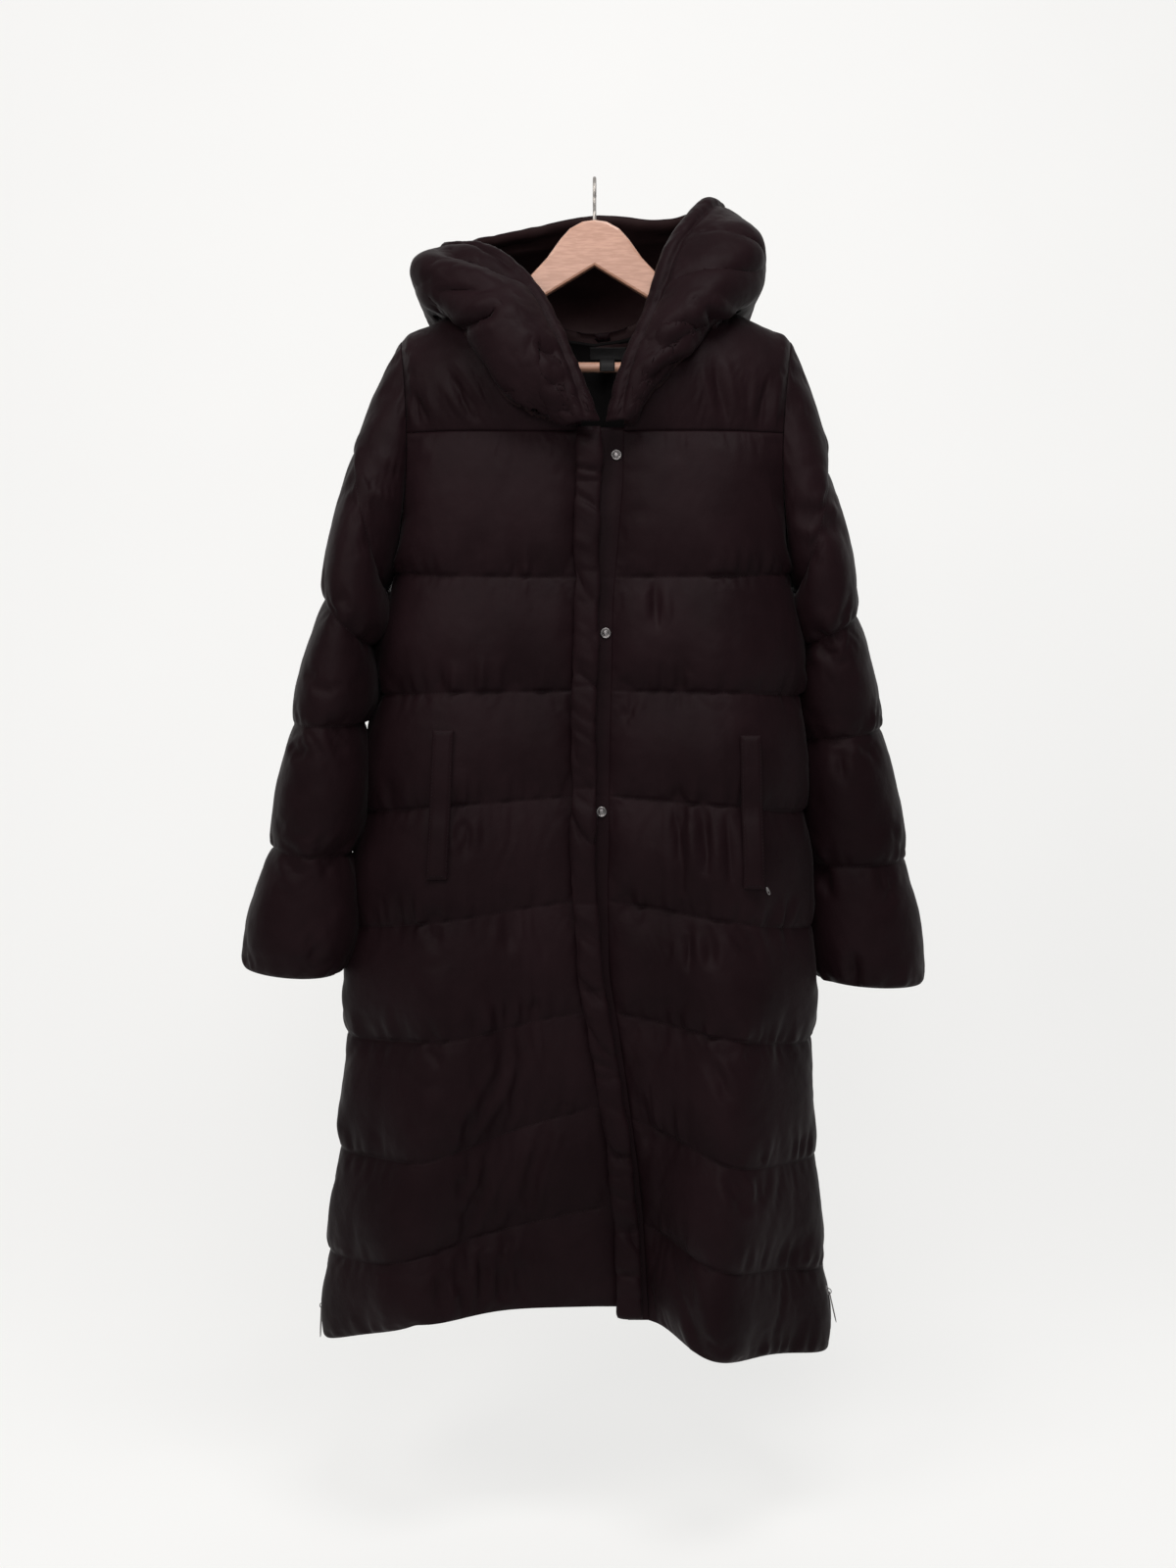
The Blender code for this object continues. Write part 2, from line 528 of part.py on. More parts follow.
# ------------------------------------------------------------------ sleeves
def make_sleeve(side, name, parent):
    """A sleeve lofted from the armhole seam to the cuff."""
    lower = [YOKE_ANGLE * k / ROWS for k in range(ROWS)]
    upper = [YOKE_ANGLE + (math.pi - YOKE_ANGLE) * k / YOKE_ROWS for k in range(YOKE_ROWS + 1)]
    half = [(a, True) for a in lower + upper]
    angles = half + [(a, False) for a, _ in half[-2:0:-1]]
    first = []
    for angle, front in angles:
        away = 2 * SEAM_GAP + 0.0030 * max(0.0, math.cos(angle)) ** 2
        first.append(armhole_point(side, angle, front) + (side * away, 0, 0))
    rings, scale = [np.array(first)], []
    for x_in, z_in, x_out, z_out, middle, depth, puff in SLEEVES[side]:
        inner, outer = np.array([x_in, middle, z_in]), np.array([x_out, middle, z_out])
        centre, arm = (inner + outer) / 2, (inner - outer) / 2
        ring = [centre + arm * math.cos(a) + np.array([0, -1 if front else 1, 0]) * depth * math.sin(a)
                for a, front in angles]
        rings.append(np.array(ring))
        scale.append(puff)
    rows, swell = [], []
    for k in range(len(rings) - 1):
        for j in range(SLEEVE_ROWS):
            t = j / SLEEVE_ROWS
            rows.append(rings[k] * (1 - t) + rings[k + 1] * t)
            swell.append(0.0 if j == 0 else scale[k] * (0.85 if j % 2 else 1.0))
    rows.append(rings[-1])
    swell.append(0.0)
    grid = np.array(rows)
    loop = np.concatenate([grid[:, -1:], grid, grid[:, :1]], axis=1)
    away = grid - grid.mean(axis=1, keepdims=True)
    facing = grid_normals(loop, np.concatenate([away[:, -1:], away, away[:, :1]], axis=1))[:, 1:-1]
    radial = [unit(np.array([0, (-1 if front else 1) * math.sin(a), -math.cos(a)])) for a, front in angles]
    facing[0] = [armhole_normal(side, a, front) if a > math.pi / 3 else radial[k]
                 for k, (a, front) in enumerate(angles)]
    outward = np.array([(1 - math.cos(a)) / 2 for a, _ in angles])
    puff = SLEEVE_PUFF * np.array(swell)[:, None] * (0.62 + 0.38 * outward)[None, :]
    puff[:SLEEVE_ROWS] *= (0.30 + 0.70 * outward)[None, :]
    return padded_wall(name, grid, facing, puff, (), parent, 0.35, ring=True)


# ------------------------------------------------------------------ front closing
def front_surface(z):
    """The seam surface's depth at the front near the centre line, as a y value."""
    table = RINGS[::-1]
    return -np.interp(z, table[:, 0], table[:, RING_COLUMNS.index("front")])


def make_placket(parent):
    """A padded tube down the wearer's right front, pinched by cross seams."""
    sides, seam_fill, foot_fill = 12, 0.80, 0.72
    heights, pinch = [], []
    for a, b in zip(PLACKET_SEAMS[:-1], PLACKET_SEAMS[1:]):
        heights += [a, a + (b - a) * 0.3, a + (b - a) * 0.7]
        pinch += [seam_fill, 1.0, 1.0]
    heights.append(PLACKET_SEAMS[-1])
    pinch.append(foot_fill)
    points = []
    for z, fill in zip(heights, pinch):
        centre = np.array([placket_x(z), front_surface(z) - PLACKET_LIFT, z])
        half_width = PLACKET_WIDTH / 2 * (0.93 + 0.07 * fill)
        for a in (2 * math.pi * k / sides for k in range(sides)):
            across = half_width * math.copysign(abs(math.cos(a)) ** 0.8, math.cos(a))
            out = PLACKET_THICK * fill / 2 * (1 - math.sin(a))
            points.append(centre + (across, -out, 0))
    last = (len(heights) - 1) * sides
    faces = [tuple(range(sides)), tuple(range(last, last + sides))]
    for i in range(len(heights) - 1):
        for j in range(sides):
            k = (j + 1) % sides
            faces.append((i * sides + j, i * sides + k, (i + 1) * sides + k, (i + 1) * sides + j))
    add_object("placket", mesh_from("placket", points, faces), SHELL, parent)


def make_underlap(parent, sewn_edge, edge_normals):
    """The lightly padded strip that the placket laps over, sewn to the wearer's left front."""
    shares = np.array((1.0, 0.66, 0.33, 0.0))
    widths = np.array([underlap_reach(ring_at(v)["z_mid"]) - UNDERLAP_START for v in levels()])
    offsets = -widths[:, None] * shares[None, :] - 2 * SEAM_GAP
    grid = sewn_edge[:, None, :] + offsets[..., None] * np.array((1.0, 0.0, 0.0))
    normals = np.repeat(edge_normals[:, None, :], len(shares), axis=1)
    puff = puffs(len(grid), len(shares), ROWS, UNDERLAP_PUFF)
    padded_wall("underlap", grid, normals, puff, ("top",), parent, 2.0)


def turned(name, profile, place, finish, parent, turn=(0.0, 0.0, 0.0), sides=12):
    """A solid turned about its own Z axis; the profile's ends are closed with flat discs."""
    points, faces = [], []
    around = [2 * math.pi * k / sides for k in range(sides)]
    for radius, height in profile:
        points += [(radius * math.cos(a), radius * math.sin(a), height) for a in around]
    last = (len(profile) - 1) * sides
    faces += [tuple(range(sides)), tuple(range(last, last + sides))]
    for i in range(len(profile) - 1):
        for k in range(sides):
            n = (k + 1) % sides
            faces.append((i * sides + k, i * sides + n, (i + 1) * sides + n, (i + 1) * sides + k))
    item = add_object(name, mesh_from(name, points, faces), finish, parent)
    item.data.set_sharp_from_angle(angle=math.radians(35))
    item.location = Vector(place) - parent.location
    item.rotation_euler = turn
    return item


def make_snaps(parent):
    """Studs on the underlap, and their sockets on the placket's back; each faces the front."""
    face_front = (math.pi / 2, 0.0, 0.0)
    stud = [(SNAP_RADIUS, 0.0), (SNAP_RADIUS, SNAP_HEIGHT * 0.4), (SNAP_RADIUS * 0.86, SNAP_HEIGHT * 0.7),
            (SNAP_RADIUS * 0.52, SNAP_HEIGHT * 0.75), (SNAP_RADIUS * 0.46, SNAP_HEIGHT)]
    socket = [(SNAP_RADIUS * 0.82, 0.0), (SNAP_RADIUS * 0.82, 0.0006), (SNAP_RADIUS * 0.70, 0.0008)]
    for k, offset in enumerate(SNAP_OFFSETS):
        z = SNAP_TOP - k * SNAP_PITCH
        x = placket_x(z)
        y = front_surface(z) - SEAM_WALL - SNAP_STANDOFF
        turned(f"snap_stud_{k + 1}", stud, (x + offset, y, z), SILVER, parent, face_front)
        turned(f"snap_socket_{k + 1}", socket, (x + SOCKET_OFFSETS[k], y, z), SILVER, parent, face_front, 8)


def surface_tree(outer):
    """A search tree over the outer face of a panel."""
    rows, cols = outer.shape[:2]
    faces = [(i * cols + j, i * cols + j + 1, (i + 1) * cols + j + 1, (i + 1) * cols + j)
             for i in range(rows - 1) for j in range(cols - 1)]
    return BVHTree.FromPolygons([Vector(p) for p in outer.reshape(-1, 3)], faces)


def make_welts(parent, outers):
    """The pocket welts: strips lying on the fronts, bridging the seams that they cross."""
    for name, (side, x_top, z_top, x_foot, z_foot) in WELTS.items():
        tree = surface_tree(outers[side])
        rows = 9
        step = (z_top - z_foot) / (rows - 1)
        base = []
        for k in range(rows):
            t = k / (rows - 1)
            x, z = x_top + (x_foot - x_top) * t, z_top + (z_foot - z_top) * t
            hits = [tree.ray_cast(Vector((x + a * WELT_WIDTH, -1.0, z + b * step)), Vector((0, 1, 0)))[0].y
                    for a in (-0.5, 0.0, 0.5) for b in (-0.5, 0.0, 0.5)]
            y = min(hits) - WELT_GAP
            base.append([(x + a * WELT_WIDTH, y, z) for a in (-0.5, -0.17, 0.17, 0.5)])
        inner = np.array(base)
        crown = np.array([0.7, 1.0, 1.0, 0.7]) * WELT_THICK
        outer = inner.copy()
        outer[..., 1] -= crown
        wall(name, outer, inner, SHELL, parent)


# ------------------------------------------------------------------ hood
def hood_grid():
    """Sections of the hood from the wearer's right front round the back to the left front."""
    rows = []
    for side, neck, low, roll, edge in HOOD:
        knots = neckline(side, (HOOD_START[side], *HOOD_FOOT))
        side_knot, last_knot = NECK_SIDE + 1, len(knots) - 1
        where = neck * side_knot if neck <= 1.0 else side_knot + (neck - 1.0) * (last_knot - side_knot)
        start = spline(knots, NECK_STEPS + 1)[int(round(where / last_knot * NECK_STEPS))]
        lift = unit(np.array([-0.3 * start[0], -0.3 * start[1], 0.05]))
        rows.append([start + lift * HOOD_NECK_LIFT, low, roll, edge])
    table = np.array(rows, float)
    lines = np.stack([spline(table[:, k], (len(HOOD) - 1) * HOOD_STEPS + 1) for k in range(4)], axis=1)
    return np.array([spline(line, HOOD_PROFILE + 1) for line in lines])


def make_hood(parent):
    """Two side pieces and the crown, one wall each."""
    grid = hood_grid()
    heart = np.array([0.0, 0.02, -0.13])
    facing = grid_normals(grid, grid - heart)
    for name, (first, last) in HOOD_PIECES.items():
        span = slice(first * HOOD_STEPS, last * HOOD_STEPS + 1)
        part, n = pull_in(grid[span], ("top", "bottom")), facing[span]
        half = np.full(part.shape[:2], HOOD_HALF_WALL)
        half[:, 0] = half[:, -1] = SEAM_WALL
        half[:, 1] = HOOD_HALF_WALL * 0.75
        half[0] = half[-1] = SEAM_WALL
        wall(name, part + n * half[..., None], part - n * half[..., None], SHELL, parent)


# ------------------------------------------------------------------ inside the neck
def make_neck_lining(parent, grid, facing, back, normals):
    """The lining behind the hanger, with its blank label and size tab."""
    rows, span = slice(1, 1 + ROWS), slice(5, BACK_COLS - 4)
    base = np.concatenate([grid[::-1], back[rows]])[:, span]
    n = np.concatenate([facing[::-1], normals[0][rows]])[:, span]
    base = pull_in(base, ("top",), LINING_DROP)
    outer = base - n * (SEAM_WALL + BODY_INNER + LINING_GAP)
    inner = outer - n * LINING_THICK
    wall("neck_lining", outer, inner, LINING, parent)
    return inner


def make_label(parent, lining_face):
    """A blank neck label on the lining, and its size tab, which hangs forward over the bar."""
    tree = surface_tree(lining_face)
    rows = []
    for z in np.linspace(LABEL_TOP, LABEL_TOP - LABEL_HEIGHT, 3):
        row = []
        for x in np.linspace(LABEL_X - LABEL_WIDTH / 2, LABEL_X + LABEL_WIDTH / 2, 5):
            hit = tree.ray_cast(Vector((x, -1.0, z)), Vector((0.0, 1.0, 0.0)))[0]
            row.append((x, hit.y - LABEL_GAP, z))
        rows.append(row)
    back = np.array(rows)
    wall("neck_label", back - (0.0, LABEL_THICK, 0.0), back, LABEL, parent)
    reach = BAR_RADIUS + TAB_REACH
    _, label_y, label_z = back[-1, 2]
    route = [(label_y - 0.0028, label_z + 0.0015), (0.018, BAR_Z + 0.011)]
    route += [(reach * math.cos(a), BAR_Z + reach * math.sin(a)) for a in np.radians((60, 100, 140, 175))]
    route.append((-reach, BAR_Z - TAB_DROP))
    line = spline([(0.0, y, z) for y, z in route], 13)
    run = unit(np.gradient(line, axis=0))
    square = np.stack([0 * run[:, 0], run[:, 2], -run[:, 1]], axis=1)
    left, right = (line + (TAB_X + side * TAB_WIDTH / 2, 0.0, 0.0) for side in (-1, 1))
    grid = np.stack([left, right], axis=1)
    shift = square[:, None, :] * LABEL_THICK / 2
    wall("size_tab", grid + shift, grid - shift, LABEL, parent)


def make_pocket_pull(parent, outer):
    """The tip of the pocket zip's pull, which shows beside the lower end of the left welt."""
    x, z = POCKET_PULL
    hit = surface_tree(outer).ray_cast(Vector((x, -1.0, z)), Vector((0.0, 1.0, 0.0)))[0]
    pull = bevelled_box("pocket_pull", POCKET_PULL_SIZE, 0.0004, SILVER, parent)
    pull.location = Vector((x, hit.y - PULL_STANDOFF, z)) - parent.location
    pull.rotation_euler = (0.0, -POCKET_PULL_LEAN, 0.0)


# ------------------------------------------------------------------ vent zips
def side_seam_x(side, z):
    """Half the coat's width at a height, on the seam surface."""
    tag = "l" if side < 0 else "r"
    heights, halves = (RINGS[::-1, RING_COLUMNS.index(name + tag)] for name in ("z_side_", "half_"))
    return np.interp(z, heights, halves)


def make_vent_zip(tag, side, z, lean, coat, parents):
    """One side vent's zip: its tape, its slider and the pull tab that hangs from it."""
    heights = np.linspace(ZIP_TOP, z - TAPE_TAIL, 8)
    grid = np.array([[(side * (side_seam_x(side, h) + SEAM_WALL + TAPE_GAP), y, h)
                      for y in (-TAPE_WIDTH / 2, TAPE_WIDTH / 2)] for h in heights])
    wall(f"zip_tape_{tag}", grid + (side * TAPE_THICK, 0, 0), grid, LINING, coat)
    slider = bevelled_box(f"zip_slider_{tag}", SLIDER_SIZE, 0.0008, SILVER, coat)
    outside = side_seam_x(side, z) + SEAM_WALL + TAPE_GAP + SLIDER_STANDOFF + SLIDER_SIZE[0] / 2
    slider.location = Vector((side * outside, 0.0, z)) - coat.location
    pull = pull_tab(f"zip_pull_{tag}", parents[tag])
    pull.rotation_euler = (0.0, -side * math.asin(lean / PULL_LENGTH), 0.0)


def bevelled_box(name, size, bevel, finish, parent):
    """A block with rounded edges, centred on its origin."""
    form = bmesh.new()
    bmesh.ops.create_cube(form, size=1.0)
    bmesh.ops.scale(form, vec=size, verts=form.verts)
    bmesh.ops.bevel(form, geom=form.edges[:], offset=bevel, segments=2, affect="EDGES", profile=0.6)
    mesh = bpy.data.meshes.new(name)
    form.to_mesh(mesh)
    form.free()
    item = add_object(name, mesh, finish, parent)
    item.location = (0.0, 0.0, 0.0)
    return item


def pull_tab(name, parent):
    """A flat tab with rounded ends, hanging from its parent's origin, flat side outwards."""
    outline = []
    half, foot, steps = PULL_WIDTH / 2, PULL_LENGTH - PULL_WIDTH / 2, 8
    for k in range(steps + 1):
        a = math.pi * k / steps
        outline.append((half * math.cos(a) * 0.8, half * math.sin(a) * 0.8 - 0.0008))
    for k in range(steps + 1):
        a = math.pi + math.pi * k / steps
        outline.append((half * math.cos(a), -foot + half * math.sin(a)))
    count = len(outline)
    points = [(x, y, z) for x in (-PULL_THICK / 2, PULL_THICK / 2) for y, z in outline]
    faces = [tuple(range(count)), tuple(range(count, 2 * count))]
    faces += [(k, (k + 1) % count, (k + 1) % count + count, k + count) for k in range(count)]
    item = add_object(name, mesh_from(name, points, faces), SILVER, parent)
    item.data.set_sharp_from_angle(angle=math.radians(35))
    item.location = (0.0, 0.0, 0.0)
    return item


# ------------------------------------------------------------------ hanger
def make_hanger_wood(parent):
    """The shaped wooden arms, with a blind hole in each tip for the bar."""
    (tip_x, tip_z), r = TIP_CENTRE, TIP_RADIUS
    lobe = [(tip_x + r * math.cos(a), tip_z + r * math.sin(a))
            for a in np.radians(np.linspace(62, -150, 10))]
    right = list(HANGER_TOP[:-1]) + lobe + list(HANGER_BOTTOM[::-1][:-1])
    outline = right + [HANGER_BOTTOM[0]] + [(-x, z) for x, z in right[:0:-1]]
    form = bmesh.new()
    verts = [form.verts.new((x, -WOOD_THICK / 2, z)) for x, z in outline]
    face = form.faces.new(verts)
    lifted = bmesh.ops.extrude_face_region(form, geom=[face])
    bmesh.ops.translate(form, vec=(0, WOOD_THICK, 0),
                        verts=[v for v in lifted["geom"] if isinstance(v, bmesh.types.BMVert)])
    bmesh.ops.recalc_face_normals(form, faces=form.faces)
    rims = [e for e in form.edges if abs(e.verts[0].co.y - e.verts[1].co.y) < 1e-6]
    bmesh.ops.bevel(form, geom=rims, offset=0.0028, segments=2, affect="EDGES", profile=0.5)
    mesh = bpy.data.meshes.new("hanger_wood")
    form.to_mesh(mesh)
    form.free()
    mesh.shade_smooth()
    mesh.set_sharp_from_angle(angle=math.radians(40))
    wood = add_object("hanger_wood", mesh, WOOD, parent)
    reach = tip_x + BAR_END
    across, bar_place = (0.0, math.pi / 2, 0.0), (0.0, 0.0, BAR_Z)
    drill(wood, "bar_hole", BAR_RADIUS, (-reach, reach), bar_place, across, parent)
    drill(wood, "stem_hole", WIRE_RADIUS, (STEM_FOOT, 0.0), (0.0, 0.0, 0.0), (0.0, 0.0, 0.0), parent)
    turned("hanger_bar", [(BAR_RADIUS, -reach), (BAR_RADIUS, reach)], bar_place, WOOD, parent, across, 16)


def drill(item, name, radius, ends, place, turn, parent):
    """Cut a round hole with a small clearance all round and past each end."""
    profile = [(radius + HOLE_GAP, ends[0] - HOLE_GAP), (radius + HOLE_GAP, ends[1] + HOLE_GAP)]
    cutter = turned(name, profile, place, STEEL, parent, turn, 16)
    cutter.hide_render = True
    cutter.display_type = "WIRE"
    cut = item.modifiers.new(name, "BOOLEAN")
    cut.operation = "DIFFERENCE"
    cut.object = cutter


def make_hook(parent):
    """The steel hook: a stem, a tight bend, and a bow open towards the front."""
    centre_z = WIRE_RADIUS - HOOK_RADIUS
    bow = [(HOOK_RADIUS * math.cos(a), centre_z + HOOK_RADIUS * math.sin(a))
           for a in np.radians(np.linspace(-55, 205, 27))]
    stem_top = centre_z - HOOK_RADIUS - 0.0060
    bend = spline([(0.0, 0.0, STEM_FOOT + 0.02), (0.0, 0.0, stem_top), (0.0, 0.0022, stem_top + 0.0050),
                   (0.0, bow[0][0], bow[0][1]), (0.0, bow[1][0], bow[1][1])], 17)
    path = [(0.0, 0.0, STEM_FOOT)] + [tuple(p) for p in bend[:-4]] + [(0.0, y, z) for y, z in bow]
    curve = bpy.data.curves.new("hanger_hook", "CURVE")
    curve.dimensions = "3D"
    curve.bevel_depth = WIRE_RADIUS
    curve.bevel_resolution = 2
    curve.use_fill_caps = True
    line = curve.splines.new("POLY")
    line.points.add(len(path) - 1)
    for point, place in zip(line.points, path):
        point.co = (*place, 1.0)
    return add_object("hanger_hook", curve, STEEL, parent)


# ------------------------------------------------------------------ assembly
def empty(name, place):
    """An empty that stands at a joint."""
    item = bpy.data.objects.new(name, None)
    item.location = place
    bpy.context.scene.collection.objects.link(item)
    return item


def main():
    """Clear the scene and build every piece."""
    for item in list(bpy.data.objects):
        bpy.data.objects.remove(item)
    root = empty("hook_frame", (0, 0, 0))
    coat = empty("coat_frame", (0, 0, 0))
    pivots = {}
    for tag, (side, z, _) in VENT_ZIPS.items():
        x = side * (side_seam_x(side, z) + PULL_PIN[0])
        pivots[tag] = empty(f"pivot_{tag}", (x, 0.0, z - PULL_PIN[1]))
    make_hook(root)
    make_hanger_wood(coat)
    fronts, back, normals, outers = make_body(coat)
    back_grid, back_facing = make_yokes(coat, fronts, back, normals)
    make_sleeve(-1, "sleeve_right", coat)
    make_sleeve(+1, "sleeve_left", coat)
    make_placket(coat)
    make_underlap(coat, fronts[1][:, 0], normals[1][:, 0])
    make_snaps(coat)
    make_welts(coat, outers)
    make_hood(coat)
    lining_face = make_neck_lining(coat, back_grid, back_facing, back, normals)
    make_label(coat, lining_face)
    make_pocket_pull(coat, outers[1])
    for tag, (side, z, lean) in VENT_ZIPS.items():
        make_vent_zip(tag, side, z, lean, coat, pivots)


main()
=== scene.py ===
"""The looks of a long padded coat on a wooden hanger.

Metres, +Z up, the coat's front towards -Y, +X to the wearer's left, origin in the hook's crown.
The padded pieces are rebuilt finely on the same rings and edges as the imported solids, blown up
by a cloth simulation between their pinned seams, and closed with an inner face.
"""
import math

import bmesh
import bpy
import numpy as np
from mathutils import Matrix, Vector
from mathutils.bvhtree import BVHTree
from mathutils.noise import noise


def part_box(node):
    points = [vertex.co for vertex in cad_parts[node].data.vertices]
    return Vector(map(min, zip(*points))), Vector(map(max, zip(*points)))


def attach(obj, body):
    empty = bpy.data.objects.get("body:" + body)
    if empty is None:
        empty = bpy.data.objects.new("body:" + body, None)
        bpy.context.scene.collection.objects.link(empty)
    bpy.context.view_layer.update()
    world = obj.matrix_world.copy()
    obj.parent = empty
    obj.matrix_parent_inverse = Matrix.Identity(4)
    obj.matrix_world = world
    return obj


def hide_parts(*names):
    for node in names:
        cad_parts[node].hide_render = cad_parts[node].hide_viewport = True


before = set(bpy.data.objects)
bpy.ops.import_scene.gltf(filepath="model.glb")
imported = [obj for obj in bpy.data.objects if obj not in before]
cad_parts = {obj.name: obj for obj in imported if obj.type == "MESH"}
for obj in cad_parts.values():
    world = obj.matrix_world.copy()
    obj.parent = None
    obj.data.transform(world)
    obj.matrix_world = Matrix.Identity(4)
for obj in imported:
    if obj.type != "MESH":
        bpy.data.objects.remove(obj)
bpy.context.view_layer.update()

# ------------------------------------------------------------------ sizes of the cloth pieces
SEAM_GAP = 0.0002
SEAM_WALL = 0.0012
SECTION_POWER = 3.0
RIDGE_SPREAD = 0.060
EDGE_RISE = 0.035
BODY_PUFF = 0.0125
YOKE_PUFF = 0.0095
SLEEVE_PUFF = 0.0105
BODY_INNER = 0.0040
SIDE_SHARE = 0.62           # how much of its puff a channel keeps at the side seam
UNDER_ARM_FILL = 0.0085     # the sides stand out this much more where the sleeves lie against them
SIDE_SLIM = 0.40            # how much flatter a channel is where it faces sideways
VENT_LEVEL = 6
PLACKET_WIDTH = 0.0275
PLACKET_THICK = 0.0125
PLACKET_LIFT = 0.0052
UNDERLAP_REACH = ((-0.33, 0.035), (-0.45, 0.0262), (-0.70, 0.0255), (-0.82, 0.0190))
UNDERLAP_START = -0.003
PANEL_TUCK = 0.006
UNDERLAP_TUCK = 0.0012      # the underlap runs this far behind the left front, so no light shows between

RING_COLUMNS = ("z_mid", "z_ridge_l", "z_ridge_r", "z_side_l", "z_side_r", "half_l", "half_r",
                "ridge_l", "ridge_r", "front", "front_ridge_l", "front_ridge_r", "back")
RINGS = np.array([
    (-0.276, -0.276, -0.276, -0.276, -0.276, 0.204, 0.200, 0.150, 0.145, 0.076, 0.080, 0.080, 0.070),
    (-0.427, -0.426, -0.426, -0.422, -0.422, 0.211, 0.206, 0.150, 0.145, 0.082, 0.090, 0.094, 0.085),
    (-0.543, -0.545, -0.545, -0.550, -0.550, 0.220, 0.2050, 0.152, 0.145, 0.083, 0.098, 0.104, 0.090),
    (-0.650, -0.6605, -0.6605, -0.673, -0.673, 0.234, 0.2100, 0.155, 0.145, 0.083, 0.102, 0.112, 0.092),
    (-0.7566, -0.7775, -0.7775, -0.794, -0.794, 0.250, 0.220, 0.158, 0.145, 0.080, 0.108, 0.118, 0.095),
    (-0.872, -0.898, -0.895, -0.910, -0.9146, 0.256, 0.2235, 0.150, 0.145, 0.075, 0.112, 0.126, 0.098),
    (-0.973, -1.020, -1.020, -1.030, -1.037, 0.2685, 0.2325, 0.174, 0.142, 0.071, 0.118, 0.136, 0.102),
    (-1.0775, -1.122, -1.119, -1.139, -1.156, 0.2795, 0.2415, 0.200, 0.125, 0.070, 0.120, 0.142, 0.106),
    (-1.179, -1.183, -1.208, -1.231, -1.243, 0.2865, 0.2475, 0.180, 0.115, 0.070, 0.118, 0.142, 0.110)])
CHANNELS = len(RINGS) - 1
ARMHOLE = {-1: dict(x_shoulder=-0.206, x_underarm=-0.211, bow=0.013, half_depth=0.058),
           +1: dict(x_shoulder=0.209, x_underarm=0.206, bow=0.012, half_depth=0.058)}
SHOULDER_Z = -0.175
UNDERARM_Z = -0.422
YOKE_ANGLE = math.radians(100.0)
SHOULDER_SEAM = ((0.084, -0.108), (0.115, -0.127), (0.145, -0.145), (0.176, -0.161))
NECK = ((0.046, -0.077, -0.205), (0.078, -0.036, -0.130), (0.084, 0.0, -0.108),
        (0.070, 0.036, -0.134), (0.038, 0.052, -0.153), (0.0, 0.056, -0.160))
NECK_SIDE = 2
SLEEVES = {
    -1: ((-0.2230, -0.440, -0.2515, -0.291, -0.012, 0.082, 0.50),
         (-0.2370, -0.498, -0.2800, -0.447, -0.028, 0.080, 1.00),
         (-0.2470, -0.578, -0.3120, -0.5786, -0.038, 0.072, 0.90),
         (-0.2600, -0.7136, -0.3340, -0.7067, -0.040, 0.060, 1.00),
         (-0.2745, -0.842, -0.3660, -0.832, -0.038, 0.046, 1.25)),
    +1: ((0.2185, -0.442, 0.2470, -0.310, 0.010, 0.080, 0.85),
         (0.2240, -0.500, 0.2815, -0.466, 0.030, 0.078, 1.00),
         (0.2240, -0.600, 0.3100, -0.589, 0.044, 0.070, 0.90),
         (0.2330, -0.734, 0.3370, -0.731, 0.044, 0.060, 1.00),
         (0.2515, -0.862, 0.3560, -0.866, 0.040, 0.048, 1.15))}
PLACKET_PATH = ((-0.276, -0.006), (-0.428, -0.008), (-0.538, -0.010), (-0.653, -0.012),
                (-0.738, -0.011), (-0.838, -0.004), (-0.889, 0.005), (-0.966, 0.017),
                (-1.021, 0.025), (-1.073, 0.0305), (-1.139, 0.034), (-1.188, 0.037))
PLACKET_SEAMS = (-0.276, -0.328, -0.420, -0.538, -0.642, -0.760, -0.850, -0.940, -1.021, -1.098, -1.188)
WELTS = {"welt_right": (-1, -0.1537, -0.582, -0.1600, -0.733),
         "welt_left": (+1, 0.1575, -0.587, 0.1606, -0.741)}
WELT_WIDTH = 0.0215
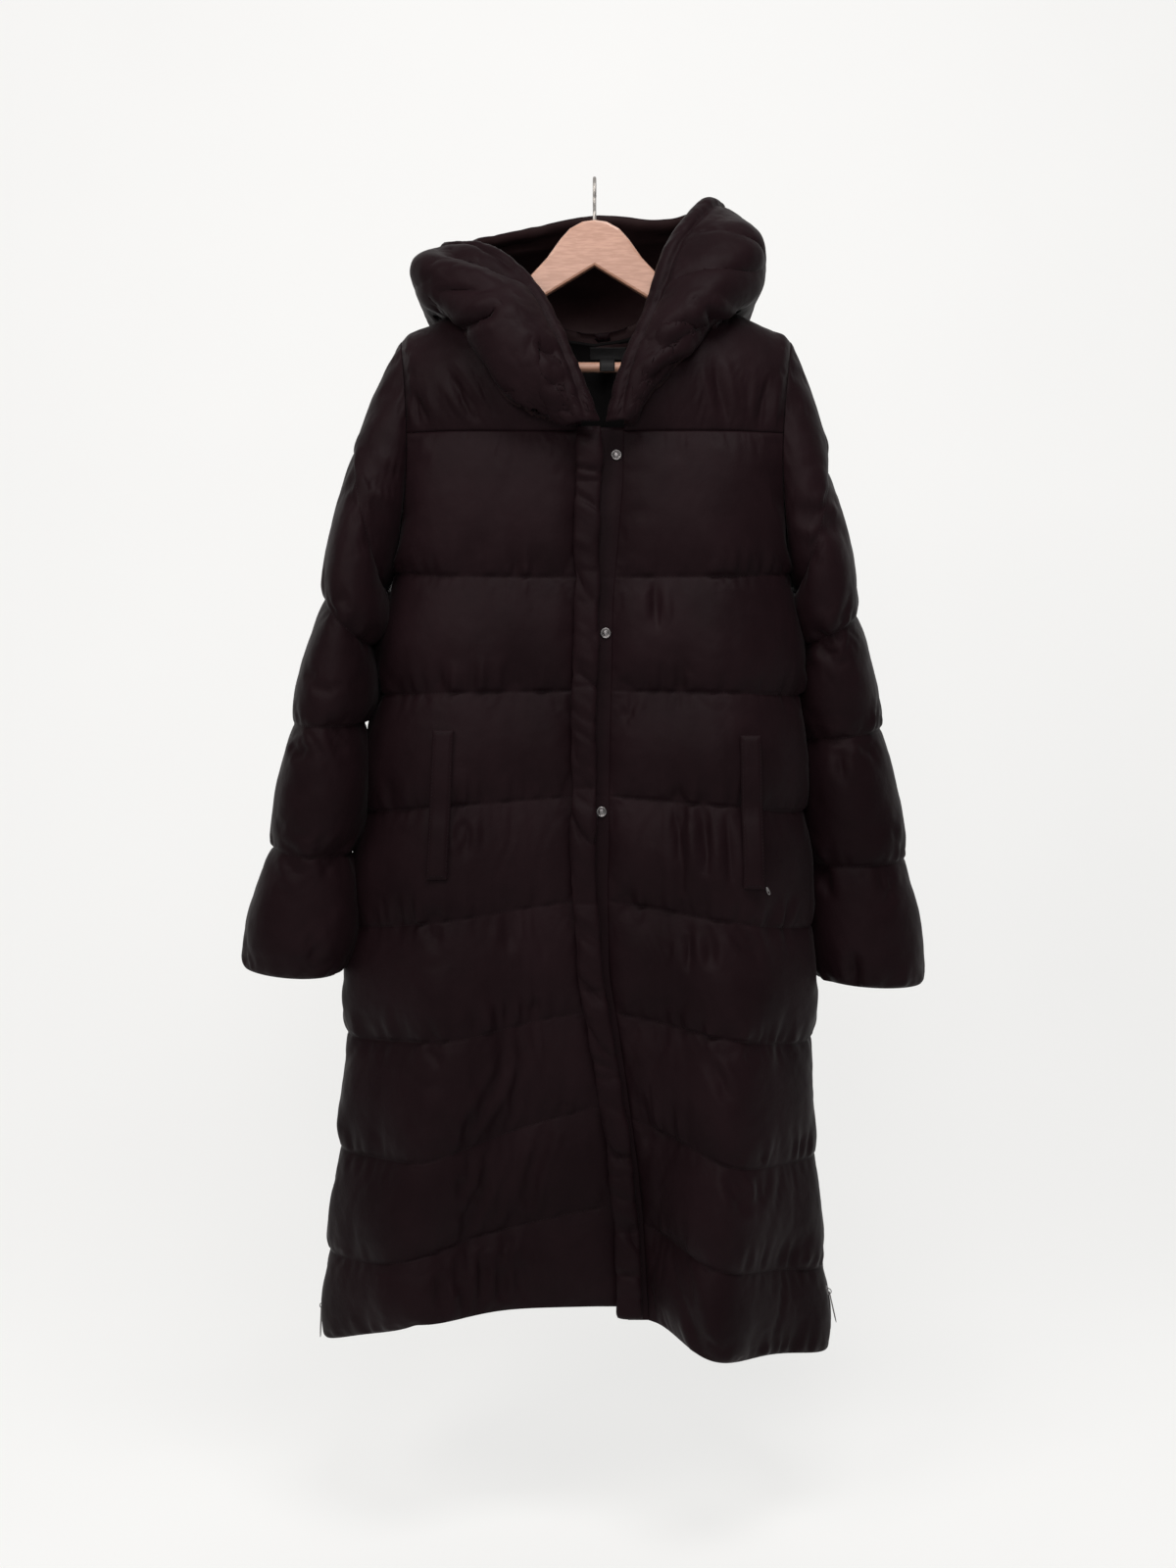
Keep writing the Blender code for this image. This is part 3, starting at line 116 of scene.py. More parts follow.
HOOD = (
    (-1, 0.00, (-0.030, -0.1000, -0.2725), (-0.014, -0.1130, -0.2700), (0.005, -0.1050, -0.2690)),
    (-1, 0.30, (-0.084, -0.1040, -0.246), (-0.058, -0.1240, -0.218), (-0.009, -0.1000, -0.232)),
    (-1, 0.55, (-0.113, -0.0960, -0.208), (-0.088, -0.1160, -0.168), (-0.031, -0.0820, -0.178)),
    (-1, 0.80, (-0.140, -0.0720, -0.168), (-0.128, -0.0860, -0.122), (-0.061, -0.0590, -0.121)),
    (-1, 0.93, (-0.166, -0.0420, -0.147), (-0.180, -0.0500, -0.099), (-0.104, -0.0330, -0.080)),
    (-1, 1.07, (-0.172, 0.0060, -0.138), (-0.187, 0.0030, -0.090), (-0.150, 0.0080, -0.067)),
    (-1, 1.30, (-0.158, 0.0800, -0.170), (-0.176, 0.0980, -0.102), (-0.136, 0.0560, -0.054)),
    (-1, 1.62, (-0.094, 0.1350, -0.212), (-0.108, 0.1780, -0.108), (-0.076, 0.0920, -0.036)),
    (-1, 2.00, (0.000, 0.1560, -0.226), (0.000, 0.2080, -0.118), (0.004, 0.1050, -0.024)),
    (+1, 1.62, (0.094, 0.1350, -0.206), (0.110, 0.1740, -0.096), (0.078, 0.0900, -0.026)),
    (+1, 1.30, (0.152, 0.0800, -0.160), (0.170, 0.0920, -0.072), (0.130, 0.0480, -0.015)),
    (+1, 1.07, (0.160, 0.0060, -0.132), (0.175, 0.0020, -0.068), (0.117, 0.0080, -0.018)),
    (+1, 0.93, (0.152, -0.0400, -0.140), (0.166, -0.0500, -0.078), (0.095, -0.0240, -0.045)),
    (+1, 0.80, (0.120, -0.0700, -0.166), (0.130, -0.0860, -0.118), (0.071, -0.0540, -0.086)),
    (+1, 0.55, (0.088, -0.0930, -0.200), (0.092, -0.1080, -0.160), (0.049, -0.0730, -0.156)),
    (+1, 0.30, (0.058, -0.1010, -0.232), (0.060, -0.1140, -0.205), (0.026, -0.0900, -0.213)),
    (+1, 0.00, (0.037, -0.0970, -0.2710), (0.028, -0.1090, -0.2680), (0.011, -0.1020, -0.2690)))
VENT_ZIPS = {"right": (-1, -1.205, 0.001), "left": (+1, -1.190, 0.007)}
ZIP_TOP = -1.045
TAPE_GAP = 0.0005
TAPE_WIDTH = 0.0090
TAPE_THICK = 0.0008
TAPE_TAIL = 0.012
SLIDER_STANDOFF = 0.0013
PULL_PIN = (0.0082, 0.0030)
PULL_LENGTH = 0.032
PULL_WIDTH = 0.0060
PULL_THICK = 0.0012
BAR_Z = -0.2005
LINING_GAP, LINING_THICK = 0.0012, 0.0010
LABEL_X, LABEL_TOP = 0.015, -0.171
LABEL_WIDTH, LABEL_HEIGHT, LABEL_THICK = 0.040, 0.0135, 0.0006
TAB_X, TAB_WIDTH = 0.0135, 0.016
HOOD_START = {-1: -0.014, 1: 0.031}
HOOD_NECK_LIFT = 0.0040
HOOD_PIECES = {"hood_right_side": (0, 6), "hood_crown": (6, 10), "hood_left_side": (10, 16)}


# ------------------------------------------------------------------ geometry shared with the solids
def unit(v):
    return v / np.maximum(np.linalg.norm(v, axis=-1, keepdims=True), 1e-12)


def spline(points, count):
    """Points at even parameter steps on a Catmull-Rom curve through the given points."""
    p = np.asarray(points, float)
    p = np.concatenate([[2 * p[0] - p[1]], p, [2 * p[-1] - p[-2]]])
    t = np.linspace(0.0, len(p) - 3.0, count)
    k = np.minimum(t.astype(int), len(p) - 4)
    f = (t - k)[:, None]
    a, b, c, d = p[k], p[k + 1], p[k + 2], p[k + 3]
    return 0.5 * (2 * b + (c - a) * f + (2 * a - 5 * b + 4 * c - d) * f ** 2
                  + (3 * b - a - 3 * c + d) * f ** 3)


def distance_along(points):
    """The distance from the first point to each point of a polyline."""
    return np.concatenate([[0.0], np.cumsum(np.linalg.norm(np.diff(points, axis=0), axis=1))])


def resample(points, count):
    """Points evenly spaced along a polyline."""
    along = distance_along(points)
    want = np.linspace(0.0, along[-1], count)
    return np.stack([np.interp(want, along, points[:, k]) for k in range(3)], axis=1)


def grid_normals(grid, towards):
    """Normals of a grid, turned to the side on which `towards` has a positive product."""
    n = unit(np.cross(np.gradient(grid, axis=1), np.gradient(grid, axis=0)))
    flip = np.sign(np.sum(n * towards, axis=-1, keepdims=True))
    return n * np.where(flip == 0, 1.0, flip)


def pull_in(grid, edges, gap=SEAM_GAP):
    """Move the named edges of a grid inwards along the surface."""
    out = grid.copy()
    pairs = {"top": (np.s_[0], np.s_[1]), "bottom": (np.s_[-1], np.s_[-2]),
             "start": (np.s_[:, 0], np.s_[:, 1]), "end": (np.s_[:, -1], np.s_[:, -2])}
    for edge in edges:
        rim, inside = pairs[edge]
        out[rim] = out[rim] + unit(grid[inside] - grid[rim]) * gap
    return out


def placket_x(z):
    path = np.array(PLACKET_PATH)[::-1]
    return np.interp(z, path[:, 0], path[:, 1])


def front_surface(z):
    """Depth of the seam surface near the centre line, as a y value."""
    table = RINGS[::-1]
    return -np.interp(z, table[:, 0], table[:, RING_COLUMNS.index("front")])


def armhole_point(side, angle, front):
    """A point of the armhole seam; the angle runs from the underarm to the shoulder."""
    hole = ARMHOLE[side]
    share = (1.0 - math.cos(angle)) / 2.0
    x = hole["x_underarm"] + share * (hole["x_shoulder"] - hole["x_underarm"])
    x -= side * hole["bow"] * math.sin(angle) ** 2
    y = hole["half_depth"] * math.sin(angle) * (-1.0 if front else 1.0)
    return np.array([x, y, UNDERARM_Z + share * (SHOULDER_Z - UNDERARM_Z)])


def armhole_normal(side, angle, front):
    """The way the cloth faces on the armhole seam, shared by the body and the sleeve."""
    lean = math.cos(angle) if angle < math.pi / 2 else -0.35 * math.cos(angle)
    y = math.sin(angle) * (-1.0 if front else 1.0)
    return unit(np.array([side * lean, y, -math.cos(angle)]))


def ring_at(level):
    k = min(int(level), len(RINGS) - 2)
    return dict(zip(RING_COLUMNS, RINGS[k] + (RINGS[k + 1] - RINGS[k]) * (level - k)))


def half_section(level, side, front, start_x, count):
    """Points from start_x round to the armhole or the side seam."""
    ring = ring_at(level)
    tag = "l" if side < 0 else "r"
    if level < 1.0:
        end = armhole_point(side, YOKE_ANGLE * (1.0 - level), front)
    else:
        end = np.array([side * ring["half_" + tag], 0.0, ring["z_side_" + tag]])
    ridge = side * ring["ridge_" + tag]
    middle = ring["front"] if front else ring["back"]
    swell = (ring["front_ridge_" + tag] - middle) if front else 0.0
    end_depth = middle + swell * math.exp(-((end[0] - ridge) / RIDGE_SPREAD) ** 2)
    shut = 1.0 - (abs(end[1]) / end_depth) ** SECTION_POWER
    half = abs(end[0]) / shut ** (1.0 / SECTION_POWER)
    x = start_x + (end[0] - start_x) * np.linspace(0.0, 1.0, 500) ** 0.5
    rise = 1.0 - np.exp(-((x - start_x) / EDGE_RISE) ** 2)
    depth = middle + swell * rise * np.exp(-((x - ridge) / RIDGE_SPREAD) ** 2)
    share = np.clip(np.abs(x) / half, 0.0, 1.0)
    y = depth * (1.0 - share ** SECTION_POWER) ** (1.0 / SECTION_POWER) * (-1.0 if front else 1.0)
    reach = np.clip(x * side / abs(end[0]), 0.0, 1.0)
    if front:
        z = np.interp(reach, (0.0, abs(ridge / end[0]), 1.0), (ring["z_mid"], ring["z_ridge_" + tag], end[2]))
    else:
        z = np.full_like(x, (ring["z_side_l"] + ring["z_side_r"]) / 2.0)
        z = z + (end[2] - z) * reach ** 2
    points = np.stack([x, y, z], axis=1)
    points[-1] = end
    return resample(points, count)


def underlap_reach(z):
    """How far the underlap runs beyond the placket's centre line at a height."""
    heights, reaches = np.array(UNDERLAP_REACH)[::-1].T
    return np.interp(z, heights, reaches)


def front_edge(level, side):
    centre = placket_x(ring_at(level)["z_mid"])
    return centre - PANEL_TUCK if side < 0 else centre + underlap_reach(ring_at(level)["z_mid"])


def patch(bottom, top, start, end):
    """A surface between four edges: rows run from bottom to top, columns from start to end."""
    v = np.linspace(0, 1, len(start))[:, None, None]
    u = np.linspace(0, 1, len(bottom))[None, :, None]
    ruled = (1 - v) * bottom[None] + v * top[None] + (1 - u) * start[:, None] + u * end[:, None]
    corners = ((1 - u) * (1 - v) * bottom[0] + u * (1 - v) * bottom[-1]
               + (1 - u) * v * top[0] + u * v * top[-1])
    return ruled - corners


def shoulder_normals(points, side):
    run = unit(np.gradient(points, axis=0))
    return unit(np.stack([-run[:, 2] * side, 0 * run[:, 0], run[:, 0] * side], axis=1))


# ------------------------------------------------------------------ fields on a grid
def wave(points, size, seed):
    """Smooth noise at each point of a grid, about -1 to 1."""
    shape = points.shape[:-1]
    flat = points.reshape(-1, 3) / size + np.array([seed * 7.31, seed * 3.17, seed * 11.9])
    return np.array([noise(Vector(p)) for p in flat]).reshape(shape)


def smooth(x, low, high):
    t = np.clip((x - low) / (high - low), 0.0, 1.0)
    return t * t * (3 - 2 * t)


def edge_distance(grid):
    """Distance along the surface from the first and last columns."""
    steps = np.linalg.norm(np.diff(grid, axis=1), axis=2)
    from_start = np.concatenate([np.zeros((len(grid), 1)), np.cumsum(steps, axis=1)], axis=1)
    return from_start, from_start[:, -1:] - from_start


def crease(grid, x0, z0, x1, z1, width=0.0065, depth=0.0042, lift=0.3):
    """A soft trough between two points, seen from the front, with a low ridge on each side of it."""
    start, run = np.array((x0, z0)), np.array((x1 - x0, z1 - z0))
    flat = grid[..., [0, 2]]
    t = np.clip((flat - start) @ run / (run @ run), 0.0, 1.0)
    away = np.linalg.norm(flat - (start + t[..., None] * run), axis=-1) / width
    fade = np.sin(math.pi * np.clip(t * 0.86 + 0.07, 0, 1)) ** 0.7
    return depth * fade * (-np.exp(-away ** 2) + lift * np.exp(-((away - 1.9) / 0.8) ** 2))


def crinkle(points, size, seed, sharp=4.0):
    """Narrow creases that wander over a grid, 1 in each crease and 0 between them."""
    return np.clip(1.0 - sharp * np.abs(wave(points, size, seed)), 0.0, 1.0) ** 1.5


FOLD_STRENGTH = 1.5        # the folds are cut this much deeper, because the simulation softens them
# Folds: the x and z of both ends, and where they differ, the width and depth.
FOLDS = {
    "front_right_panel": (
        (-0.098, -0.894, -0.093, -0.925), (-0.093, -0.925, -0.107, -0.955),
        (-0.107, -0.955, -0.123, -0.979), (-0.123, -0.979, -0.130, -0.995),
        (-0.130, -0.995, -0.133, -1.053), (-0.110, -1.039, -0.126, -1.077),
        (-0.126, -1.077, -0.133, -1.104), (-0.133, -1.104, -0.140, -1.144),
        (-0.034, -0.976, -0.052, -1.005), (-0.052, -1.005, -0.066, -1.043),
        (-0.066, -1.043, -0.069, -1.070), (-0.083, -1.083, -0.097, -1.123),
        (-0.164, -0.884, -0.160, -0.924), (-0.166, -0.770, -0.162, -0.800),
        (-0.156, -1.132, -0.154, -1.167), (-0.136, -1.132, -0.133, -1.167),
        (-0.114, -1.130, -0.116, -1.164), (-0.095, -1.132, -0.096, -1.164),
        (-0.077, -1.132, -0.074, -1.162), (-0.136, -0.676, -0.130, -0.706),
        (-0.087, -0.765, -0.089, -0.800), (-0.062, -0.865, -0.059, -0.894)),
    "front_left_panel": (
        (0.143, -0.784, 0.162, -0.811, 0.007, 0.006), (0.157, -0.899, 0.157, -0.917),
        (0.084, -0.650, 0.088, -0.740), (0.137, -1.029, 0.149, -1.057, 0.007, 0.006),
        (0.108, -0.652, 0.113, -0.724), (0.133, -0.672, 0.137, -0.745), (0.094, -0.788, 0.094, -0.823),
        (0.115, -0.788, 0.116, -0.821), (0.116, -0.912, 0.137, -0.956),
        (0.082, -1.107, 0.103, -1.194, 0.009, 0.005), (0.032, -0.537, 0.037, -0.576),
        (0.060, -0.438, 0.064, -0.478), (0.047, -0.961, 0.054, -1.000), (0.170, -1.010, 0.166, -1.060)),
    "sleeve_right": (
        (-0.241, -0.309, -0.196, -0.338, 0.009, 0.006), (-0.234, -0.333, -0.194, -0.319),
        (-0.223, -0.493, -0.230, -0.529), (-0.266, -0.577, -0.254, -0.612),
        (-0.306, -0.582, -0.298, -0.609), (-0.276, -0.697, -0.270, -0.731),
        (-0.311, -0.699, -0.306, -0.726), (-0.288, -0.786, -0.284, -0.821)),
    "sleeve_left": (
        (0.258, -0.601, 0.261, -0.642), (0.212, -0.356, 0.248, -0.376, 0.009, 0.006),
        (0.236, -0.478, 0.248, -0.519), (0.279, -0.586, 0.294, -0.616), (0.243, -0.734, 0.248, -0.770),
        (0.304, -0.729, 0.312, -0.765), (0.274, -0.821, 0.277, -0.857)),
    "hood_right_side": (
        (-0.161, -0.092, -0.125, -0.102, 0.008, 0.006), (-0.125, -0.102, -0.082, -0.120, 0.008, 0.006),
        (-0.165, -0.130, -0.100, -0.140, 0.010, 0.005), (-0.161, -0.179, -0.118, -0.168),
        (-0.118, -0.168, -0.097, -0.156), (-0.062, -0.194, -0.039, -0.207),
        (-0.049, -0.230, -0.034, -0.237), (-0.031, -0.260, -0.016, -0.265)),
    "hood_left_side": (
        (0.110, -0.044, 0.075, -0.075, 0.007, 0.006), (0.075, -0.075, 0.066, -0.106),
        (0.162, -0.168, 0.126, -0.163), (0.126, -0.163, 0.100, -0.178, 0.008, 0.005),
        (0.100, -0.178, 0.061, -0.199, 0.008, 0.005), (0.087, -0.206, 0.056, -0.229),
        (0.110, -0.153, 0.123, -0.163)),
    "yoke_front_right": (
        (-0.150, -0.215, -0.120, -0.262), (-0.186, -0.235, -0.176, -0.270)),
    "yoke_front_left": (
        (0.120, -0.205, 0.135, -0.262), (0.178, -0.225, 0.172, -0.270)),
}


# ------------------------------------------------------------------ padded panels
COLS = 56                  # columns across a front
BACK_COLS = 112
ROWS = 20                  # rows in one channel
YOKE_ROWS = 28
SLEEVE_COLS = 32           # columns in each half of a sleeve
EDGE_FADE = 0.013          # a channel's puff grows over this distance from a panel's edge
FILL_POWER = 0.60          # how steeply a channel rises from its seams
SAG = 1.35                 # how far the fill has sunk in each channel
PLEAT = 0.0085             # depth of the small pleats over each seam
FREE_HEIGHT = 0.004        # cloth with this much fill behind it folds freely
FINE_PUCKER = 0.00035
HOOD_PUCKER = 0.0006
SLEEVE_SLACK = 0.0030      # the inside of a sleeve stands out this much more
FRONT_FADE = 2.2           # a front's puff takes this much longer to grow
DEEPEST_FOLD = 0.75        # a fold takes away at most this share of the fill
COARSE_SWELL, FINE_SWELL = 0.0020, 0.0011   # soft unevenness of the outer face
CRINKLE_DEPTH = 0.0012
YOKE_INNER, SLEEVE_INNER = 0.30, 0.35       # the inner face's share of the puff


def channel_steps(rows):
    """Steps from 0 to 1 that lie closer together beside both seams."""
    t = np.linspace(0.0, 1.0, rows + 1)
    return t - 0.5 * np.sin(2 * math.pi * t) / (2 * math.pi)


def channel_levels():
    t = channel_steps(ROWS)[:-1]
    return np.append((np.arange(CHANNELS)[:, None] + t).ravel(), CHANNELS)


def arch(levels):
    """Height of the fill between two seams: 0 on the seams, and most below the middle, where it sinks."""
    return np.sin(math.pi * (levels % 1.0) ** SAG) ** FILL_POWER


class Panel:
    """A padded piece: its seam surface, its outer face, and which points its stitches hold."""

    def __init__(self, name, base, normals, height, pinned, depth, levels=None, ring=False):
        self.name, self.base, self.normals, self.height = name, base, normals, height
        self.pinned, self.depth, self.levels, self.ring = pinned, depth, levels, ring
        self.slack = 1.0
        self.outer = base + normals * (SEAM_WALL + height)[..., None]

    def crumple(self):
        """Push the folds, the pleats over each seam and a soft unevenness into the outer face."""
        free = np.clip(self.height / FREE_HEIGHT, 0.0, 1.0)
        ahead = np.clip(-2.0 * self.normals[..., 1], 0.0, 1.0)
        folds = (crease(self.outer, *fold) for fold in FOLDS.get(self.name, ()))
        shift = FOLD_STRENGTH * ahead * sum(folds, np.zeros(self.height.shape))
        shift += COARSE_SWELL * wave(self.base, 0.060, 1)
        shift += FINE_SWELL * wave(self.base * (1, 1, 0.45), 0.021, 2)
        shift -= CRINKLE_DEPTH * crinkle(self.base * (1, 1, 0.6), 0.045, 19)
        if self.levels is not None:
            t = (self.levels % 1.0)[:, None]
            beside = np.exp(-((1.0 - t) / 0.24) ** 2) + 0.5 * np.exp(-(t / 0.16) ** 2)
            patchy = 0.55 + 0.9 * wave(self.base, 0.045, 3)
            shift += PLEAT * beside * patchy * wave(self.base * (1, 1, 0.14), 0.0105, 4)
        shift = np.maximum(free * shift, -DEEPEST_FOLD * self.height)
        self.outer = self.outer + self.normals * shift[..., None]

    def keep_clear(self):
        """Put back any point of the outer face that has sunk to the inner one."""
        out = ((self.outer - self.base) * self.normals).sum(axis=2)
        self.outer = self.outer + self.normals * np.maximum(0.0, 0.5 * SEAM_WALL - out)[..., None]


def rows_pinned(shape, per_channel):
    mask = np.zeros(shape, bool)
    mask[::per_channel] = True
    mask[-1] = True
    return mask


def tautness(key, grid, levels):
    """How much of its full puff each point has: a front is stretched flat on one side of its ridge."""
    if key == 0:
        return np.ones(grid.shape[:2])
    ridge = np.array([ring_at(v)["ridge_l" if key < 0 else "ridge_r"] for v in levels])[:, None]
    inner = smooth(ridge - np.abs(grid[..., 0]), -0.012, 0.020)
    low = smooth(levels, 2.0, 4.5)[:, None]
    if key < 0:
        return 1.0 - inner * (0.15 + 0.42 * low)
    return 1.0 - (1.0 - inner) * 0.30 * low


def body_panels():
    """Both fronts and the back, and the rows that the yokes and the underlap are sewn to."""
    levels = channel_levels()
    fronts = {s: np.array([half_section(v, s, True, front_edge(v, s), COLS + 1) for v in levels])
              for s in (-1, 1)}
    half = BACK_COLS // 2
    back = np.array([np.concatenate([half_section(v, -1, False, 0.0, half + 1)[::-1],
                                     half_section(v, 1, False, 0.0, half + 1)[1:]]) for v in levels])
    around = np.concatenate([fronts[-1], back[:, 1:-1], fronts[1][:, ::-1]], axis=1)
    normals = grid_normals(around, around * (1.0, 3.0, 0.0))
    last = COLS + BACK_COLS
    facing = {-1: normals[:, :COLS + 1].copy(), 1: normals[:, last:][:, ::-1].copy(),
              0: normals[:, COLS:last + 1].copy()}
    for i, v in enumerate(levels[levels <= 1.0]):
        for s, column in ((-1, 0), (1, -1)):
            facing[s][i, -1] = armhole_normal(s, YOKE_ANGLE * (1.0 - v), True)
            facing[0][i, column] = armhole_normal(s, YOKE_ANGLE * (1.0 - v), False)
    vented = smooth(levels, VENT_LEVEL - 0.2, VENT_LEVEL + 0.1)
    side_share = SIDE_SHARE * smooth(levels, 0.9, 1.3) * (1 - vented)
    up = arch(levels)[:, None] * BODY_PUFF
    panels = {}
    for key, name, grid in ((-1, "front_right_panel", fronts[-1]), (1, "front_left_panel", fronts[1]),
                            (0, "back_panel", back)):
        start, end = edge_distance(grid)
        fade = [smooth(d, 0.0, EDGE_FADE * (FRONT_FADE if key else 1.0)) ** 0.6 for d in (start, end)]
        side = side_share[:, None] + (1 - side_share[:, None]) * fade[1]
        other = side_share[:, None] + (1 - side_share[:, None]) * fade[0] if key == 0 else fade[0]
        pinned = rows_pinned(grid.shape[:2], ROWS)
        pinned[:, [0, -1]] = True
        low = (0.35 + 0.65 * smooth(levels, 3.0, 4.3))[:, None]
        slim = 1.0 - SIDE_SLIM * np.abs(facing[key][..., 0]) ** 1.5 * low
        height = up * side * other * slim * tautness(key, grid, levels)
        under_arm = smooth(levels, 1.1, 1.9) * (1 - smooth(levels, 4.6, 5.5))
        height += UNDER_ARM_FILL * under_arm[:, None] * np.abs(facing[key][..., 0]) ** 2
        panels[key] = Panel(name, pull_in(grid, ("top", "start", "end")), facing[key], height, pinned,
                            SEAM_WALL + height * BODY_INNER / BODY_PUFF, levels)
    return panels, fronts, back, facing


def yoke_panels(fronts, back, facing):
    upper = np.linspace(YOKE_ANGLE, math.pi, YOKE_ROWS + 1)
    dome = np.sin(np.linspace(0, math.pi, YOKE_ROWS + 1))[:, None] ** 0.6
    out = []

    def add(name, grid, normals):
        start, end = edge_distance(grid)
        height = YOKE_PUFF * dome * smooth(start, 0, EDGE_FADE) ** 0.6 * smooth(end, 0, EDGE_FADE) ** 0.6
        pinned = rows_pinned(height.shape, YOKE_ROWS)
        pinned[:, [0, -1]] = True
        out.append(Panel(name, pull_in(grid, ("top", "bottom", "start", "end")), normals, height, pinned,
                         SEAM_WALL + YOKE_INNER * height))

    def shoulder(side, steps):
        ends = np.array([(side * x, 0.0, z) for x, z in SHOULDER_SEAM]
                        + [tuple(armhole_point(side, math.pi, True))])
        t = np.linspace(0, len(ends) - 1, steps * (len(ends) - 1) + 1)
        return np.stack([np.interp(t, range(len(ends)), ends[:, k]) for k in range(3)], axis=1)

    for side, name in ((-1, "yoke_front_right"), (1, "yoke_front_left")):
        bottom, top = fronts[side][0], shoulder(side, COLS // 4)
        knots = [bottom[0]] + [(side * x, y, z) for x, y, z in NECK]
        end = np.array([armhole_point(side, a, True) for a in upper])
        grid = patch(bottom, top, spline(knots[:NECK_SIDE + 2], YOKE_ROWS + 1), end)
        normals = grid_normals(grid, np.array([0.25 * side, -1.0, 0.6]))
        normals[0] = facing[side][0]
        normals[-1] = shoulder_normals(top, side)
        normals[:, -1] = [armhole_normal(side, a, True) for a in upper]
        add(name, grid, normals)
    steps = BACK_COLS // 14
    left, right = shoulder(-1, steps), shoulder(1, steps)
    behind = spline(np.array(NECK[NECK_SIDE:]), 3 * steps + 1)
    arc = np.concatenate([behind * (-1, 1, 1), behind[::-1][1:]])
    top = np.concatenate([left[::-1][:-1], arc, right[1:]])
    start, end = (np.array([armhole_point(s, a, False) for a in upper]) for s in (-1, 1))
    grid = patch(back[0], top, start, end)
    normals = grid_normals(grid, np.array([0.0, 1.0, 0.6]))
    normals[0] = facing[0][0]
    normals[-1, :len(left)] = shoulder_normals(left, -1)[::-1]
    normals[-1, -len(right):] = shoulder_normals(right, 1)
    normals[:, 0] = [armhole_normal(-1, a, False) for a in upper]
    normals[:, -1] = [armhole_normal(1, a, False) for a in upper]
    add("yoke_back", grid, normals)
    return out


def sleeve_panel(side, name):
    """A sleeve lofted from the armhole seam to the cuff."""
    half = [(a, True) for a in np.linspace(0.0, math.pi, SLEEVE_COLS + 1)]
    angles = half + [(a, False) for a, _ in half[-2:0:-1]]
    first = [armhole_point(side, a, f) + (side * (2 * SEAM_GAP + 0.0030 * max(0.0, math.cos(a)) ** 2), 0, 0)
             for a, f in angles]
    rings, scale = [np.array(first)], []
    for x_in, z_in, x_out, z_out, middle, depth, puff in SLEEVES[side]:
        inner, outer = np.array([x_in, middle, z_in]), np.array([x_out, middle, z_out])
        rings.append(np.array([(inner + outer) / 2 + (inner - outer) / 2 * math.cos(a)
                               + np.array([0, -1 if f else 1, 0]) * depth * math.sin(a) for a, f in angles]))
        scale.append(puff)
    t = channel_steps(ROWS)[:-1]
    grid = np.array([rings[k] * (1 - s) + rings[k + 1] * s for k in range(len(scale)) for s in t]
                    + [rings[-1]])
    swell = np.array([scale[k] * arch(s) for k in range(len(scale)) for s in t] + [0.0])
    loop = np.concatenate([grid[:, -1:], grid, grid[:, :1]], axis=1)
    away = grid - grid.mean(axis=1, keepdims=True)
    normals = grid_normals(loop, np.concatenate([away[:, -1:], away, away[:, :1]], axis=1))[:, 1:-1]
    radial = [unit(np.array([0, (-1 if f else 1) * math.sin(a), -math.cos(a)])) for a, f in angles]
    normals[0] = [armhole_normal(side, a, f) if a > math.pi / 3 else radial[k]
                  for k, (a, f) in enumerate(angles)]
    outward = np.array([(1 - math.cos(a)) / 2 for a, _ in angles])
    height = SLEEVE_PUFF * swell[:, None] * (1.30 - 0.62 * outward)[None, :]
    height[:ROWS] *= (0.30 + 0.70 * outward)[None, :]
    height[ROWS:-1] += SLEEVE_SLACK * ((1 - outward) ** 2)[None, :]
    levels = np.append((np.arange(len(scale))[:, None] + t).ravel(), len(scale))
    depth = SEAM_WALL + SLEEVE_INNER * height
    return Panel(name, grid, normals, height, rows_pinned(height.shape, ROWS), depth, levels, True)


# ------------------------------------------------------------------ the cloth simulation
SIM_FRAMES = 20
SIM_GROWTH = 0.045         # the cloth is cut this much longer than its seams, so it puckers
SIM_PRESSURE = 30.0
SIM_CAP = 0.009            # the furthest that a point may move
SIM_SETTINGS = dict(
    vertex_group_mass="stitched", vertex_group_pressure="fill", vertex_group_shrink="fill",
    quality=4, mass=0.02, tension_stiffness=8.0, compression_stiffness=8.0, shear_stiffness=4.0,
    bending_stiffness=0.02, tension_damping=8.0, compression_damping=8.0, air_damping=4.0,
    use_pressure=True, uniform_pressure_force=SIM_PRESSURE, shrink_min=-0.004, shrink_max=-SIM_GROWTH)


